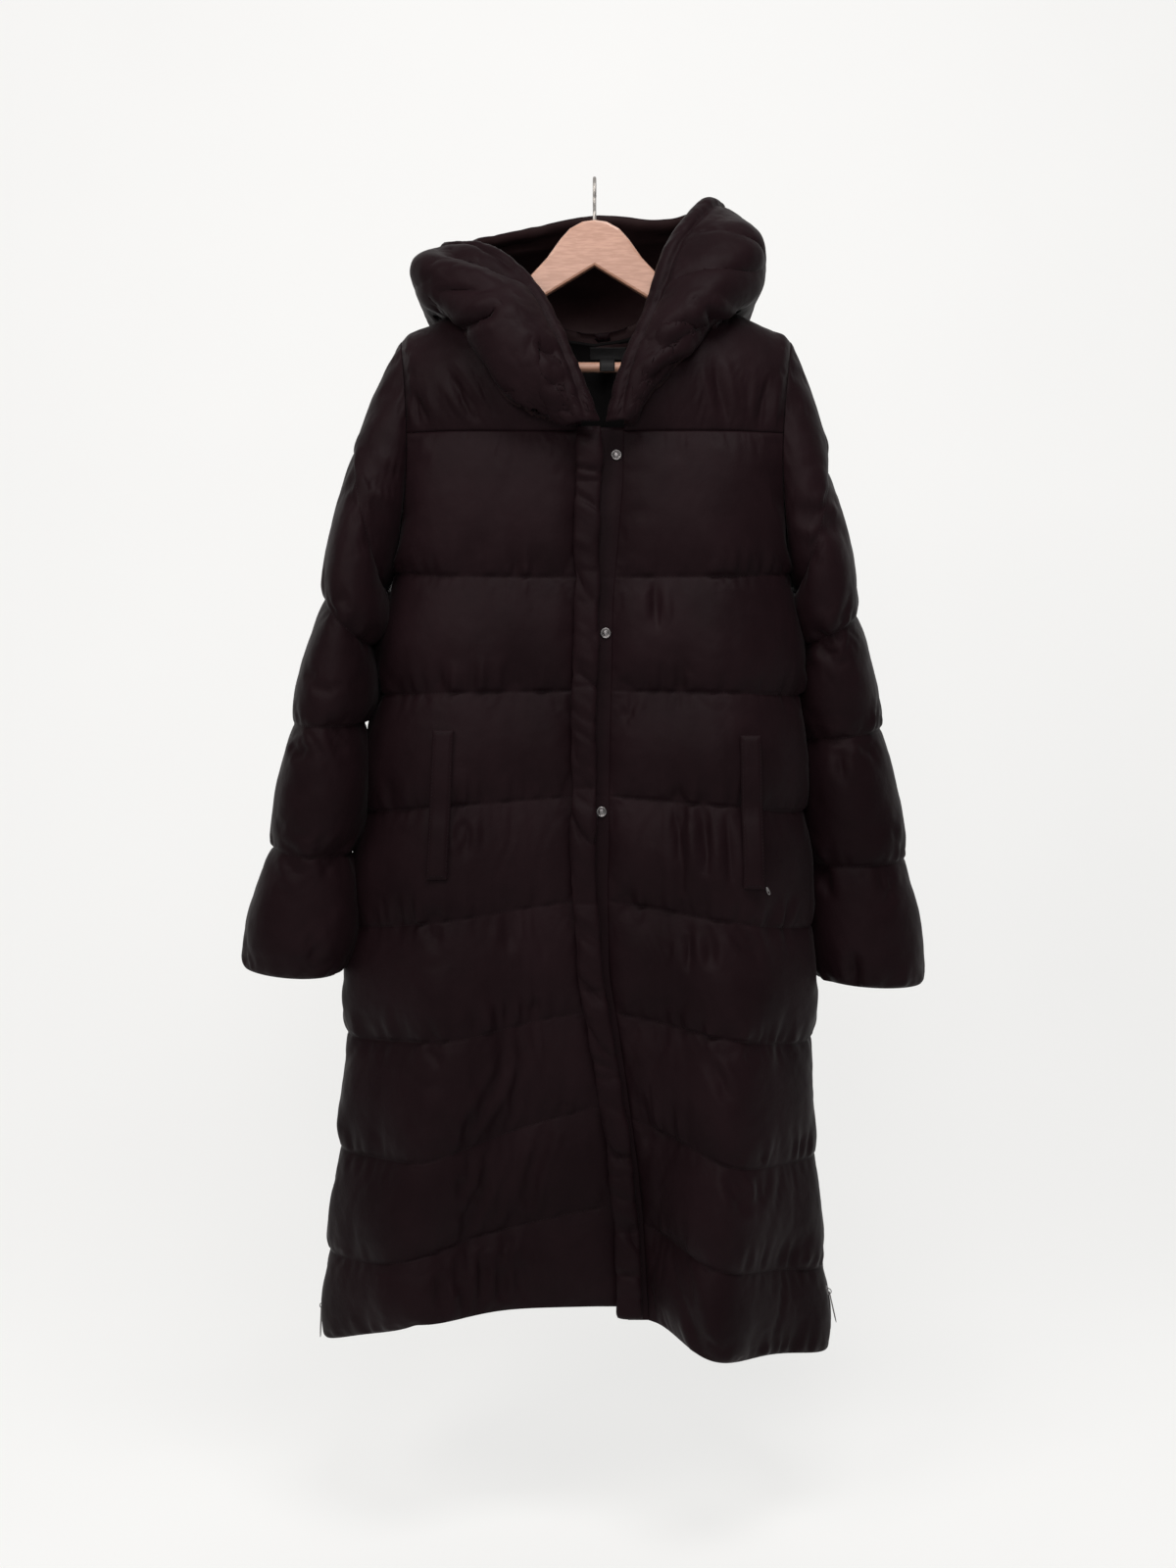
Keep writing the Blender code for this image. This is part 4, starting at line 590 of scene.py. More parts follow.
def simulate(panels):
    """Blow up the outer faces of all panels in one cloth simulation, held along their seams."""
    points, faces, pins, weights, first = [], [], [], [], 0
    for panel in panels:
        rows, cols = panel.outer.shape[:2]
        share = 0.3 + 0.7 * panel.height / BODY_PUFF
        weights += list(np.clip(panel.slack * share, 0.0, 1.0).ravel())
        points.append(panel.outer.reshape(-1, 3))
        faces += [tuple(first + k for k in face) for face in turned_quads(panel)]
        pins += list(first + np.flatnonzero(panel.pinned.ravel()))
        first += rows * cols
    points = np.concatenate(points)
    mesh = bpy.data.meshes.new("cloth")
    mesh.from_pydata([tuple(p) for p in points], [], faces)
    item = bpy.data.objects.new("cloth", mesh)
    bpy.context.scene.collection.objects.link(item)
    item.vertex_groups.new(name="stitched").add([int(k) for k in pins], 1.0, "REPLACE")
    fill = item.vertex_groups.new(name="fill")
    for k, weight in enumerate(weights):
        fill.add([k], float(weight), "REPLACE")
    cloth = item.modifiers.new("cloth", "CLOTH")
    for key, value in SIM_SETTINGS.items():
        setattr(cloth.settings, key, value)
    cloth.settings.effector_weights.gravity = 0.0
    cloth.collision_settings.use_collision = False
    cloth.point_cache.frame_start, cloth.point_cache.frame_end = 1, SIM_FRAMES
    for step in range(1, SIM_FRAMES + 1):
        bpy.context.scene.frame_set(step)
    solved = item.evaluated_get(bpy.context.evaluated_depsgraph_get()).data
    result = np.empty(len(points) * 3)
    solved.vertices.foreach_get("co", result)
    move = result.reshape(-1, 3) - points
    size = np.linalg.norm(move, axis=1, keepdims=True)
    points += move * np.minimum(1.0, SIM_CAP / np.maximum(size, 1e-9))
    bpy.context.scene.frame_set(1)
    bpy.data.objects.remove(item)
    first = 0
    for panel in panels:
        count = panel.outer.shape[0] * panel.outer.shape[1]
        panel.outer = points[first:first + count].reshape(panel.outer.shape)
        first += count


# ------------------------------------------------------------------ meshes from grids
def quads(rows, cols, ring=False):
    """The faces of a grid of points, row by row; a ring's last column is joined to its first."""
    return [(i * cols + j, i * cols + (j + 1) % cols, (i + 1) * cols + (j + 1) % cols, (i + 1) * cols + j)
            for i in range(rows - 1) for j in range(cols if ring else cols - 1)]


def turned_quads(panel):
    """The faces of a panel's outer grid, wound so that they face the way its normals do."""
    points = panel.outer
    across, down = points[:-1, 1:] - points[:-1, :-1], points[1:, :-1] - points[:-1, :-1]
    turn = 1 if (np.cross(across, down) * panel.normals[:-1, :-1]).sum() > 0 else -1
    return [face[::turn] for face in quads(*points.shape[:2], panel.ring)]


def finer(grid, axis, ring=False):
    """Twice the points along an axis, on smooth curves through the given ones."""
    g = np.moveaxis(grid, axis, 0)
    if ring:
        wide = np.concatenate([g[-1:], g, g[:2]])
    else:
        wide = np.concatenate([2 * g[:1] - g[1:2], g, 2 * g[-1:] - g[-2:-1]])
    middle = (9 * (wide[1:-2] + wide[2:-1]) - wide[:-3] - wide[3:]) / 16
    out = np.empty((2 * len(g) if ring else 2 * len(g) - 1, *g.shape[1:]))
    out[::2] = g
    out[1::2] = middle
    return np.moveaxis(out, 0, axis)


def refine(grid, ring=False):
    """Twice the points both ways."""
    return finer(finer(grid, 0), 1, ring)


def mesh_object(name, points, faces, materials, indices=None):
    mesh = bpy.data.meshes.new(name)
    mesh.from_pydata([tuple(p) for p in points], [], faces)
    for material in materials:
        mesh.materials.append(material)
    if indices is not None:
        mesh.polygons.foreach_set("material_index", np.asarray(indices, dtype=np.int32))
    form = bmesh.new()
    form.from_mesh(mesh)
    bmesh.ops.recalc_face_normals(form, faces=form.faces)
    form.to_mesh(mesh)
    form.free()
    mesh.shade_smooth()
    item = bpy.data.objects.new(name, mesh)
    bpy.context.scene.collection.objects.link(item)
    return item


def capped(name, loops, materials):
    """A closed piece through loops of points, with a cap on the first and the last."""
    count, last = len(loops[0]), (len(loops) - 1) * len(loops[0])
    faces = [tuple(range(count)), tuple(range(last, last + count))] + quads(len(loops), count, True)
    return mesh_object(name, [p for loop in loops for p in loop], faces, materials)


def closed_wall(name, fine, coarse, ring, materials, same=False):
    """A closed piece between an outer grid and an inner one, with the same points or half as many each way."""
    step = 1 if same else 2
    (R, C), (r, c) = fine.shape[:2], coarse.shape[:2]
    points = np.concatenate([fine.reshape(-1, 3), coarse.reshape(-1, 3)])
    behind = R * C
    faces, inner = quads(R, C, ring), quads(r, c, ring)
    outer_count, inner_count = len(faces), len(inner)
    faces += [tuple(behind + n for n in (face[0], face[3], face[2], face[1])) for face in inner]
    for big, small in ((0, 0), (R - 1, r - 1)):
        for j in range(c if ring else c - 1):
            rim = [big * C + (step * j + n) % C for n in range(step + 1)]
            faces.append((*rim, behind + small * c + (j + 1) % c, behind + small * c + j))
    if not ring:
        for big, small in ((0, 0), (C - 1, c - 1)):
            for i in range(r - 1):
                rim = [(step * i + n) * C + big for n in range(step + 1)]
                faces.append((*rim, behind + (i + 1) * c + small, behind + i * c + small))
    indices = [0] * outer_count + [1] * inner_count + [0] * (len(faces) - outer_count - inner_count)
    return mesh_object(name, points, faces, materials, indices)


def finish_panel(panel, materials):
    """Refine a panel's outer face, close it with its inner face, and put it on the coat's body in place of its
    CAD node.
    """
    fine, normals = refine(panel.outer, panel.ring), unit(refine(panel.normals, panel.ring))
    held = refine(panel.height, panel.ring)
    micro = np.clip(held / FREE_HEIGHT, 0.0, 1.0) * FINE_PUCKER * wave(fine, 0.011, 5)
    fine = fine + normals * micro[..., None]
    inner = panel.base - panel.normals * panel.depth[..., None]
    item = closed_wall(panel.name + "_padded", fine, inner, panel.ring, materials)
    give(item, panel.name)
    panel.fine, panel.fine_normals = fine, normals


def give(item, node, body="coat"):
    """A piece stands for a CAD node and rides on its body; that node is hidden."""
    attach(item, body)
    if node:
        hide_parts(node)


# ------------------------------------------------------------------ hood
HOOD_SECTIONS = 12         # sections between two rows of the table
HOOD_PROFILE = 60          # steps from the neck to the hood's edge
CROWN_LIFT = 0.009         # the padded edge behind the hanger stands this much above its plain solid
CASING = 0.018             # the drawn-in seam's distance from the hood's edge
CASING_TUCK = 0.0025       # the cloth is held this far on each side of that seam
CROWN_SPREAD = 0.075       # how far from the middle the crown's lift reaches
HOOD_PUFF = 0.0050
HOOD_SLACK = 0.45          # how much of the cloth's growth and pressure the hood takes
HOOD_CREASE = 0.0040       # depth of the creases that wander over the hood


def hood_grid():
    rows = []
    for side, neck, low, roll, edge in HOOD:
        knots = [(HOOD_START[side], -0.079, -0.2735)] + [(side * x, y, z) for x, y, z in NECK]
        side_knot, last_knot = NECK_SIDE + 1, len(knots) - 1
        where = neck * side_knot if neck <= 1.0 else side_knot + (neck - 1.0) * (last_knot - side_knot)
        start = spline(knots, 61)[int(round(where / last_knot * 60))]
        lift = unit(np.array([-0.3 * start[0], -0.3 * start[1], 0.05]))
        rows.append([start + lift * HOOD_NECK_LIFT, low, roll, edge])
    table = np.array(rows, float)
    table[:, 3, 2] += CROWN_LIFT * np.exp(-(table[:, 3, 0] / CROWN_SPREAD) ** 2) * (table[:, 3, 1] > 0.07)
    lines = np.stack([spline(table[:, k], (len(HOOD) - 1) * HOOD_SECTIONS + 1) for k in range(4)], axis=1)
    return np.array([spline(line, HOOD_PROFILE + 1) for line in lines])


def hood_panels():
    grid = hood_grid()
    normals = grid_normals(grid, grid - np.array([0.0, 0.02, -0.13]))
    panels = []
    for name, (first, last) in HOOD_PIECES.items():
        span = slice(first * HOOD_SECTIONS, last * HOOD_SECTIONS + 1)
        part = pull_in(grid[span], ("top", "bottom"))
        from_neck, from_edge = edge_distance(part)
        sides = np.linalg.norm(np.diff(part, axis=0), axis=2).mean(axis=1)
        along = np.concatenate([[0.0], np.cumsum(sides)])
        seam = np.minimum(along, along[-1] - along)[:, None]
        height = HOOD_PUFF * smooth(from_neck, 0.0, 0.022) ** 0.6
        height = height * (0.25 + 0.75 * smooth(seam, 0.0, 0.014) ** 0.6)
        height = height * (1.0 - 0.85 * np.exp(-((from_edge - CASING) / 0.0035) ** 2))
        height = height * np.clip(from_edge / 0.0085, 0.0, 1.0) ** 0.5
        pinned = np.zeros(height.shape, bool)
        pinned[[0, -1]] = pinned[:, [0, -1]] = True
        pinned |= np.abs(from_edge - CASING) < CASING_TUCK
        panel = Panel(name, part, normals[span], height, pinned, 0.0)
        panel.slack = HOOD_SLACK
        free = smooth(from_neck, 0.0, 0.03) * smooth(from_edge, CASING, CASING + 0.012)
        free = free * smooth(seam, 0.0, 0.02)
        ahead = smooth(-normals[span][..., 1], -0.3, 0.3)
        shift = FOLD_STRENGTH * sum(crease(part, *fold) for fold in FOLDS.get(name, ())) * ahead
        soft = 0.0050 * wave(part, 0.070, 6) + 0.0010 * wave(part * (1, 0.6, 1), 0.022, 7)
        soft = soft - HOOD_CREASE * crinkle(part * (0.6, 0.6, 1.3), 0.085, 21, 2.6)
        rim = 0.0012 * wave(part, 0.014, 8) * smooth(CASING * 1.6 - from_edge, 0.0, 0.01)
        panel.outer = part + normals[span] * (free * (shift + soft) + rim * (seam > 0.004))[..., None]
        panels.append(panel)
    return panels


def finish_hood(panel, materials):
    """Both faces of a hood piece, padded out from its simulated middle surface."""
    middle = refine(panel.outer)
    normals = grid_normals(middle, refine(panel.normals))
    half = SEAM_WALL * 0.8 + refine(panel.height)
    pucker = HOOD_PUCKER * wave(middle, 0.012, 9) * np.clip(half / FREE_HEIGHT, 0, 1)
    outer = middle + normals * (half + pucker)[..., None]
    inner = (middle - normals * half[..., None])[::2, ::2]
    item = closed_wall(panel.name + "_padded", outer, inner, False, materials)
    give(item, panel.name)
    panel.fine, panel.fine_normals = outer, normals


# ------------------------------------------------------------------ front closing
PLACKET_ROWS, PLACKET_AROUND = 380, 48
PLACKET_CREASE = 0.0042    # depth of the creases that wander over it
PLACKET_SWAY = 0.0022      # how far its line wanders sideways
PLACKET_DRAWN = 0.52       # the share of its fill that is left at its cross seams
UNDERLAP_PUFF = 0.0012


def make_placket(materials):
    """A padded tube down the wearer's right front, drawn in by its cross seams."""
    z = np.linspace(PLACKET_SEAMS[0] + 0.004, PLACKET_SEAMS[-1], PLACKET_ROWS)
    seams = -np.array(PLACKET_SEAMS)
    level = np.interp(-z, seams, np.arange(len(seams)))
    full = np.sin(math.pi * (level % 1.0)) ** 0.5
    full[[0, -1]] = 0.0
    fill = (PLACKET_DRAWN + (1.0 - PLACKET_DRAWN) * full)[:, None]
    a = circle(PLACKET_AROUND)[None, :]
    across = PLACKET_WIDTH / 2 * (0.86 + 0.14 * fill) * np.sign(np.cos(a)) * np.abs(np.cos(a)) ** 0.8
    out = PLACKET_THICK * fill / 2 * (1 - np.sin(a)) * (1.0 + 0.16 * np.cos(a))
    centre = np.stack([placket_x(z), front_surface(z) - PLACKET_LIFT, z], axis=1)[:, None]
    centre = centre + PLACKET_SWAY * wave(centre * (0, 0, 1), 0.042, 15)[..., None] * (1.0, 0.0, 0.0)
    grid = centre + np.stack([across, -out, 0 * across], axis=2)
    radial = unit(np.stack([np.cos(a) + 0 * fill, np.sin(a) + 0 * fill, 0 * across], axis=2))
    front = np.clip(-np.sin(a), 0, 1) ** 0.5
    stretched = grid * (0.6, 1.0, 1.0)
    slant = stretched + stretched[..., :1] * (0.0, 0.0, 0.8)
    pucker = 0.0026 * wave(slant, 0.026, 11) + 0.0008 * wave(slant, 0.009, 12)
    pucker -= PLACKET_CREASE * crinkle(slant, 0.036, 13, 2.8)
    grid = grid + radial * (pucker * (0.35 + 0.65 * front))[..., None]
    item = capped("placket_padded", grid, materials)
    give(item, "placket")


def underlap_panel(sewn_edge, edge_normals):
    shares = np.linspace(1.0, 0.0, 13)
    widths = np.array([underlap_reach(ring_at(v)["z_mid"]) - UNDERLAP_START for v in channel_levels()])
    offsets = -widths[:, None] * shares[None, :] + UNDERLAP_TUCK
    grid = sewn_edge[:, None, :] + offsets[..., None] * np.array((1.0, 0.0, 0.0))
    grid[0, :, 2] += 0.0035
    normals = np.repeat(edge_normals[:, None, :], len(shares), axis=1)
    start, end = edge_distance(grid)
    fade = (smooth(start, 0, 0.008) * smooth(end, 0, 0.008)) ** 0.5
    height = UNDERLAP_PUFF * arch(channel_levels())[:, None] * fade
    return Panel("underlap", pull_in(grid, ("top",)), normals, height, rows_pinned(height.shape, ROWS),
                 SEAM_WALL + height)


# ------------------------------------------------------------------ small pieces
STITCH_PITCH = 0.0036
STITCH_LENGTH = 0.0027
SNAP_RADIUS = 0.0055
WELT_BASE, WELT_CROWN, WELT_GROOVE = 0.0024, 0.0020, 0.0014     # its height, and its stitched groove's depth
WELT_STITCH = 0.0026       # the groove's distance from the welt's edge
WELT_LIFT = 0.0003         # it lies this far in front of the cloth
SLIDER_HALF_WIDTH, SLIDER_HALF_HEIGHT, SLIDER_THICK = 0.0040, 0.00525, 0.0030
BAIL_RADIUS = 0.00050
PULL_HOLE = 0.0011         # radius of the hole that the bail goes through
TOOTH_PITCH = 0.0011
FORWARD = Vector((0.0, 1.0, 0.0))   # the way from in front of the coat into it


class Thread:
    """Collects stitches: small spindles that lie end to end along lines on the cloth."""

    def __init__(self):
        self.points, self.faces = [], []

    def add(self, line, normals, lift=0.0002, width=0.00032):
        along = distance_along(line)
        for middle in np.arange(STITCH_PITCH, along[-1] - STITCH_PITCH / 2, STITCH_PITCH):
            ends = [np.array([np.interp(middle + s * STITCH_LENGTH / 2, along, line[:, k]) for k in range(3)])
                    for s in (-1, 1)]
            n = unit(np.array([np.interp(middle, along, normals[:, k]) for k in range(3)]))
            run = unit(ends[1] - ends[0])
            side, centre, first = np.cross(run, n) * width, (ends[0] + ends[1]) / 2 + n * lift, len(self.points)
            up = n * width
            self.points += [ends[0], centre + side, centre + up, centre - side, centre - up, ends[1]]
            for a, b in ((1, 2), (2, 3), (3, 4), (4, 1)):
                self.faces += [(first, first + a, first + b), (first + 5, first + b, first + a)]

    def finish(self, name, material):
        item = mesh_object(name, self.points, self.faces, [material])
        give(item, None)


def face_tree(grid):
    """A search tree over a grid."""
    return BVHTree.FromPolygons([Vector(p) for p in grid.reshape(-1, 3)], quads(*grid.shape[:2]))


def make_welt(name, panel, thread):
    """A pocket welt: a folded strip that lies on its front, stitched down along both edges."""
    _, x_top, z_top, x_foot, z_foot = WELTS[name]
    tree, rows = face_tree(panel.fine), 90
    across = np.linspace(-0.5, 0.5, 13)
    t = np.linspace(0, 1, rows)
    x, z = x_top + (x_foot - x_top) * t, z_top + (z_foot - z_top) * t
    depth = np.array([[tree.ray_cast(Vector((x[i] + a * WELT_WIDTH, -1.0, z[i])), FORWARD)[0].y
                       for a in across] for i in range(rows)])
    rigid = np.array([depth[max(0, i - 7):i + 8].min() for i in range(rows)])
    rigid = np.convolve(np.pad(rigid, 6, mode="edge"), np.ones(13) / 13, mode="valid")
    near = depth.min(axis=1)
    y = np.minimum(rigid, near)[:, None] - WELT_LIFT + 0 * across[None, :]
    base = np.stack([x[:, None] + across[None] * WELT_WIDTH, y, z[:, None] + 0 * across[None]], axis=2)
    edge = np.minimum((0.5 - np.abs(across)) * WELT_WIDTH, WELT_WIDTH)[None, :]
    ends = np.minimum(t, 1 - t)[:, None] * abs(z_foot - z_top)
    inside = np.minimum(edge, ends)
    groove = np.exp(-((inside - WELT_STITCH) / 0.0008) ** 2)
    crown = WELT_BASE + WELT_CROWN * smooth(inside, 0.0, 0.0035) - WELT_GROOVE * groove
    crown += 0.0005 * wave(base * (1, 1, 0.5), 0.012, 14) * smooth(inside, 0.0, 0.004)
    outer = base - crown[..., None] * np.array((0.0, 1.0, 0.0))
    item = closed_wall(name + "_padded", outer, base, False, [SHELL, SHELL], same=True)
    give(item, name)
    ahead = np.repeat([[0.0, -1.0, 0.0]], rows, axis=0)
    for column in (1, -2):
        thread.add(outer[3:-3, column], ahead[3:-3])
    for row in (2, -3):
        thread.add(outer[row, 1:-1], ahead[:11])


def circle(count):
    """Even angles once round."""
    return np.linspace(0, 2 * math.pi, count + 1)[:-1]


def bulge(value, power):
    """A sine or cosine made fuller by a power below 1, with its sign kept."""
    return 0.0 if abs(value) < 1e-9 else math.copysign(abs(value) ** power, value)


def lathe(name, profile, place, axis, sides=36):
    """A piece turned about an axis through `place`, from pairs of radius and height."""
    axis = Vector(axis)
    across = axis.orthogonal().normalized()
    other = axis.cross(across)
    loops = [[Vector(place) + axis * height + (across * math.cos(a) + other * math.sin(a)) * radius
              for a in circle(sides)] for radius, height in profile]
    item = capped(name, loops, [PLATED])
    item.data.set_sharp_from_angle(angle=math.radians(50))
    return item


def make_snaps():
    """Ring studs with a post on the underlap, and dished sockets behind the placket."""
    r = SNAP_RADIUS
    stud = [(r * 0.94, 0.0), (r, 0.0003), (r, 0.0008), (r * 0.95, 0.0012), (r * 0.86, 0.0015),
            (r * 0.76, 0.0014), (r * 0.68, 0.0009), (r * 0.52, 0.0008), (r * 0.46, 0.0012),
            (r * 0.48, 0.0018), (r * 0.42, 0.0021), (r * 0.20, 0.0022)]
    socket = [(r * 0.78, 0.0), (r * 0.82, 0.0002), (r * 0.80, 0.0006), (r * 0.72, 0.0008), (r * 0.52, 0.0008),
              (r * 0.46, 0.0005), (r * 0.30, 0.0004)]
    for kind, profile in (("stud", stud), ("socket", socket)):
        for k in range(1, 6):
            node = f"snap_{kind}_{k}"
            low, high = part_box(node)
            place = ((low[0] + high[0]) / 2, high[1], (low[2] + high[2]) / 2)
            give(lathe(node + "_turned", profile, place, (0.0, -1.0, 0.0)), node)


def ring_plate(name, outer, inner, thick, place):
    """A plate between two loops in its own plane, with rounded rims; `place` puts it in the scene."""
    steps = ((0.0, 0.45), (0.06, 0.80), (0.16, 1.0), (0.84, 1.0), (0.94, 0.80), (1.0, 0.45))
    count, loops = len(outer), []
    for face in (1, -1):
        for share, height in steps[::face]:
            loops.append([place(*(outer[k] * (1 - share) + inner[k] * share), face * height * thick / 2)
                          for k in range(count)])
    points = [p for loop in loops for p in loop]
    faces = [tuple(n % len(points) for n in face) for face in quads(len(loops) + 1, count, True)]
    item = mesh_object(name, points, faces, [PLATED])
    item.data.set_sharp_from_angle(angle=math.radians(60))
    return item


def tube(name, path, radius, material, sides=10):
    """A round wire along a path in the plane of the hanger."""
    path = np.array(path, float)
    run = unit(np.gradient(path, axis=0))
    flat = np.array((0.0, 1.0, 0.0))
    loops = [[p + radius * (flat * math.cos(a) + np.cross(d, flat) * math.sin(a)) for a in circle(sides)]
             for p, d in zip(path, run)]
    return capped(name, loops, [material])


def tab_outline(length, top, foot, waist, count=48):
    """A long tab's outline about its own hole: a round head, a waist and a broader round foot."""
    out = []
    for a in circle(count):
        down = (1 - math.cos(a)) / 2
        width = top + (foot - top) * smooth(down, 0.35, 0.95) - waist * math.exp(-((down - 0.32) / 0.12) ** 2)
        out.append((width * bulge(math.sin(a), 0.35), top - length * down))
    return np.array(out)


def side_seam_x(side, z):
    tag = "l" if side < 0 else "r"
    heights, halves = (RINGS[::-1, RING_COLUMNS.index(name + tag)] for name in ("z_side_", "half_"))
    return np.interp(z, heights, halves)


def make_vent_zip(tag, side, z, lean):
    """A side vent's zip: its tape and teeth, a slider with its bail, and the hanging pull."""
    heights = np.linspace(ZIP_TOP, z - TAPE_TAIL, 90)
    across = np.linspace(-TAPE_WIDTH / 2, TAPE_WIDTH / 2, 9)
    away = np.array([side_seam_x(side, h) + SEAM_WALL + TAPE_GAP for h in heights])
    ripple = 0.00015 * np.sin(heights * 900.0)[:, None] * (np.abs(across) / across[-1])[None, :] ** 2
    back = np.stack([side * (away[:, None] + ripple), across[None] + 0 * ripple, heights[:, None] + 0 * ripple],
                    axis=2)
    tape = closed_wall(f"zip_tape_{tag}_cloth", back + (side * TAPE_THICK, 0, 0), back, False, [TAPE, TAPE],
                       same=True)
    give(tape, f"zip_tape_{tag}")
    points, faces = [], []
    for k, h in enumerate(np.arange(ZIP_TOP - 0.002, z - TAPE_TAIL + 0.001, -TOOTH_PITCH)):
        middle = 0.0007 * (1 if k % 2 else -1)
        x = side_seam_x(side, h) + SEAM_WALL + TAPE_GAP + TAPE_THICK
        first = len(points)
        points += [(side * (x + a * 0.00045), middle + b * 0.0011 * (1 - 0.25 * a),
                    h + c * 0.00042 * (1 - 0.25 * a)) for a in (0, 1) for b in (-1, 1) for c in (-1, 1)]
        faces += [tuple(first + n for n in f) for f in
                  ((0, 1, 3, 2), (4, 6, 7, 5), (0, 4, 5, 1), (2, 3, 7, 6), (0, 2, 6, 4), (1, 5, 7, 3))]
    give(mesh_object(f"zip_teeth_{tag}", points, faces, [TEETH]), None)
    slide = side_seam_x(side, z) + SEAM_WALL + TAPE_GAP + SLIDER_STANDOFF
    wide, tall, thick = SLIDER_HALF_WIDTH, SLIDER_HALF_HEIGHT, SLIDER_THICK
    outline = [(wide * math.sin(a) * (1.0 + 0.12 * math.cos(a)), z + tall * bulge(math.cos(a), 0.6))
               for a in circle(40)]
    layers = ((0.0, 0.82), (0.12, 0.95), (0.3, 1.0), (0.7, 1.0), (0.88, 0.95), (1.0, 0.80))
    loops = [[(side * (slide + share * thick), y * size, z + (h - z) * size) for y, h in outline]
             for share, size in layers]
    give(capped(f"zip_slider_{tag}_body", loops, [PLATED]), f"zip_slider_{tag}")
    pin = np.array((side * (side_seam_x(side, z) + PULL_PIN[0]), 0.0, z - PULL_PIN[1]))
    face = side * (slide + thick - 0.0003)
    knots = [(face, 0, z + 0.0032), (pin[0] + side * 0.0010, 0, z + 0.0010),
             (pin[0] + side * 0.0016, 0, pin[2] + 0.0014), (pin[0], 0, pin[2] - 0.0001),
             (face, 0, pin[2] - 0.0006)]
    give(tube(f"zip_bail_{tag}", spline(knots, 25), BAIL_RADIUS, PLATED), None)
    turn = -side * math.asin(lean / PULL_LENGTH)

    def place(y, h, x):
        return (pin[0] + x * math.cos(turn) + h * math.sin(turn), y,
                pin[2] - x * math.sin(turn) + h * math.cos(turn))

    outer = tab_outline(PULL_LENGTH + 0.0016, 0.0022, PULL_WIDTH / 2, 0.0003)
    hole = np.array([(PULL_HOLE * math.sin(a), PULL_HOLE * math.cos(a)) for a in circle(48)])
    item = ring_plate(f"zip_pull_{tag}_tab", outer, hole, PULL_THICK, place)
    give(item, f"zip_pull_{tag}", f"pull_{tag}")


def make_pocket_pull():
    """The tip of the pocket zip's pull beside the left welt."""
    low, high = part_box("pocket_pull")
    centre, lean = (np.array(low) + np.array(high)) / 2, math.radians(22)

    def place(u, v, w):
        return (centre[0] + u * math.cos(lean) - v * math.sin(lean), centre[1] + w,
                centre[2] + u * math.sin(lean) + v * math.cos(lean))

    outer = np.array([(0.0016 * math.sin(a), 0.00425 * bulge(math.cos(a), 0.7)) for a in circle(40)])
    hole = np.array([(0.0006 * math.sin(a), 0.0012 * math.cos(a) - 0.0016) for a in circle(40)])
    give(ring_plate("pocket_pull_tab", outer, hole, 0.0014, place), "pocket_pull")


def make_neck_lining(yoke, body):
    """The smooth lining behind the hanger; returns its face towards the front."""
    share = slice(int(BACK_COLS * 5 / 14), int(BACK_COLS * 9 / 14) + 1)
    base = np.concatenate([yoke.base[::-1], body.base[1:ROWS + 1]])[:, share]
    n = np.concatenate([yoke.normals[::-1], body.normals[1:ROWS + 1]])[:, share]
    base = pull_in(base, ("top",), 0.004)
    base = resample_rows(base, 70)
    n = unit(resample_rows(n, 70, np.linspace(0, 1, len(n))))
    ripple = 0.0006 * wave(base * (1, 1, 0.35), 0.020, 16) + 0.0002 * wave(base, 0.007, 17)
    face = base - n * (SEAM_WALL + 0.0045 + LINING_GAP + ripple)[..., None]
    front = face - n * LINING_THICK
    item = closed_wall("neck_lining_cloth", face, front, False, [INSIDE, INSIDE], same=True)
    give(item, "neck_lining")
    return front


def resample_rows(grid, count, where=None):
    """The same number of columns, but evenly spaced rows."""
    if where is None:
        middle = grid[:, grid.shape[1] // 2]
        where = distance_along(middle)
    want = np.linspace(where[0], where[-1], count)
    flat = grid.reshape(len(grid), -1)
    rows = np.stack([np.interp(want, where, flat[:, k]) for k in range(flat.shape[1])], axis=1)
    return rows.reshape(count, -1, 3)


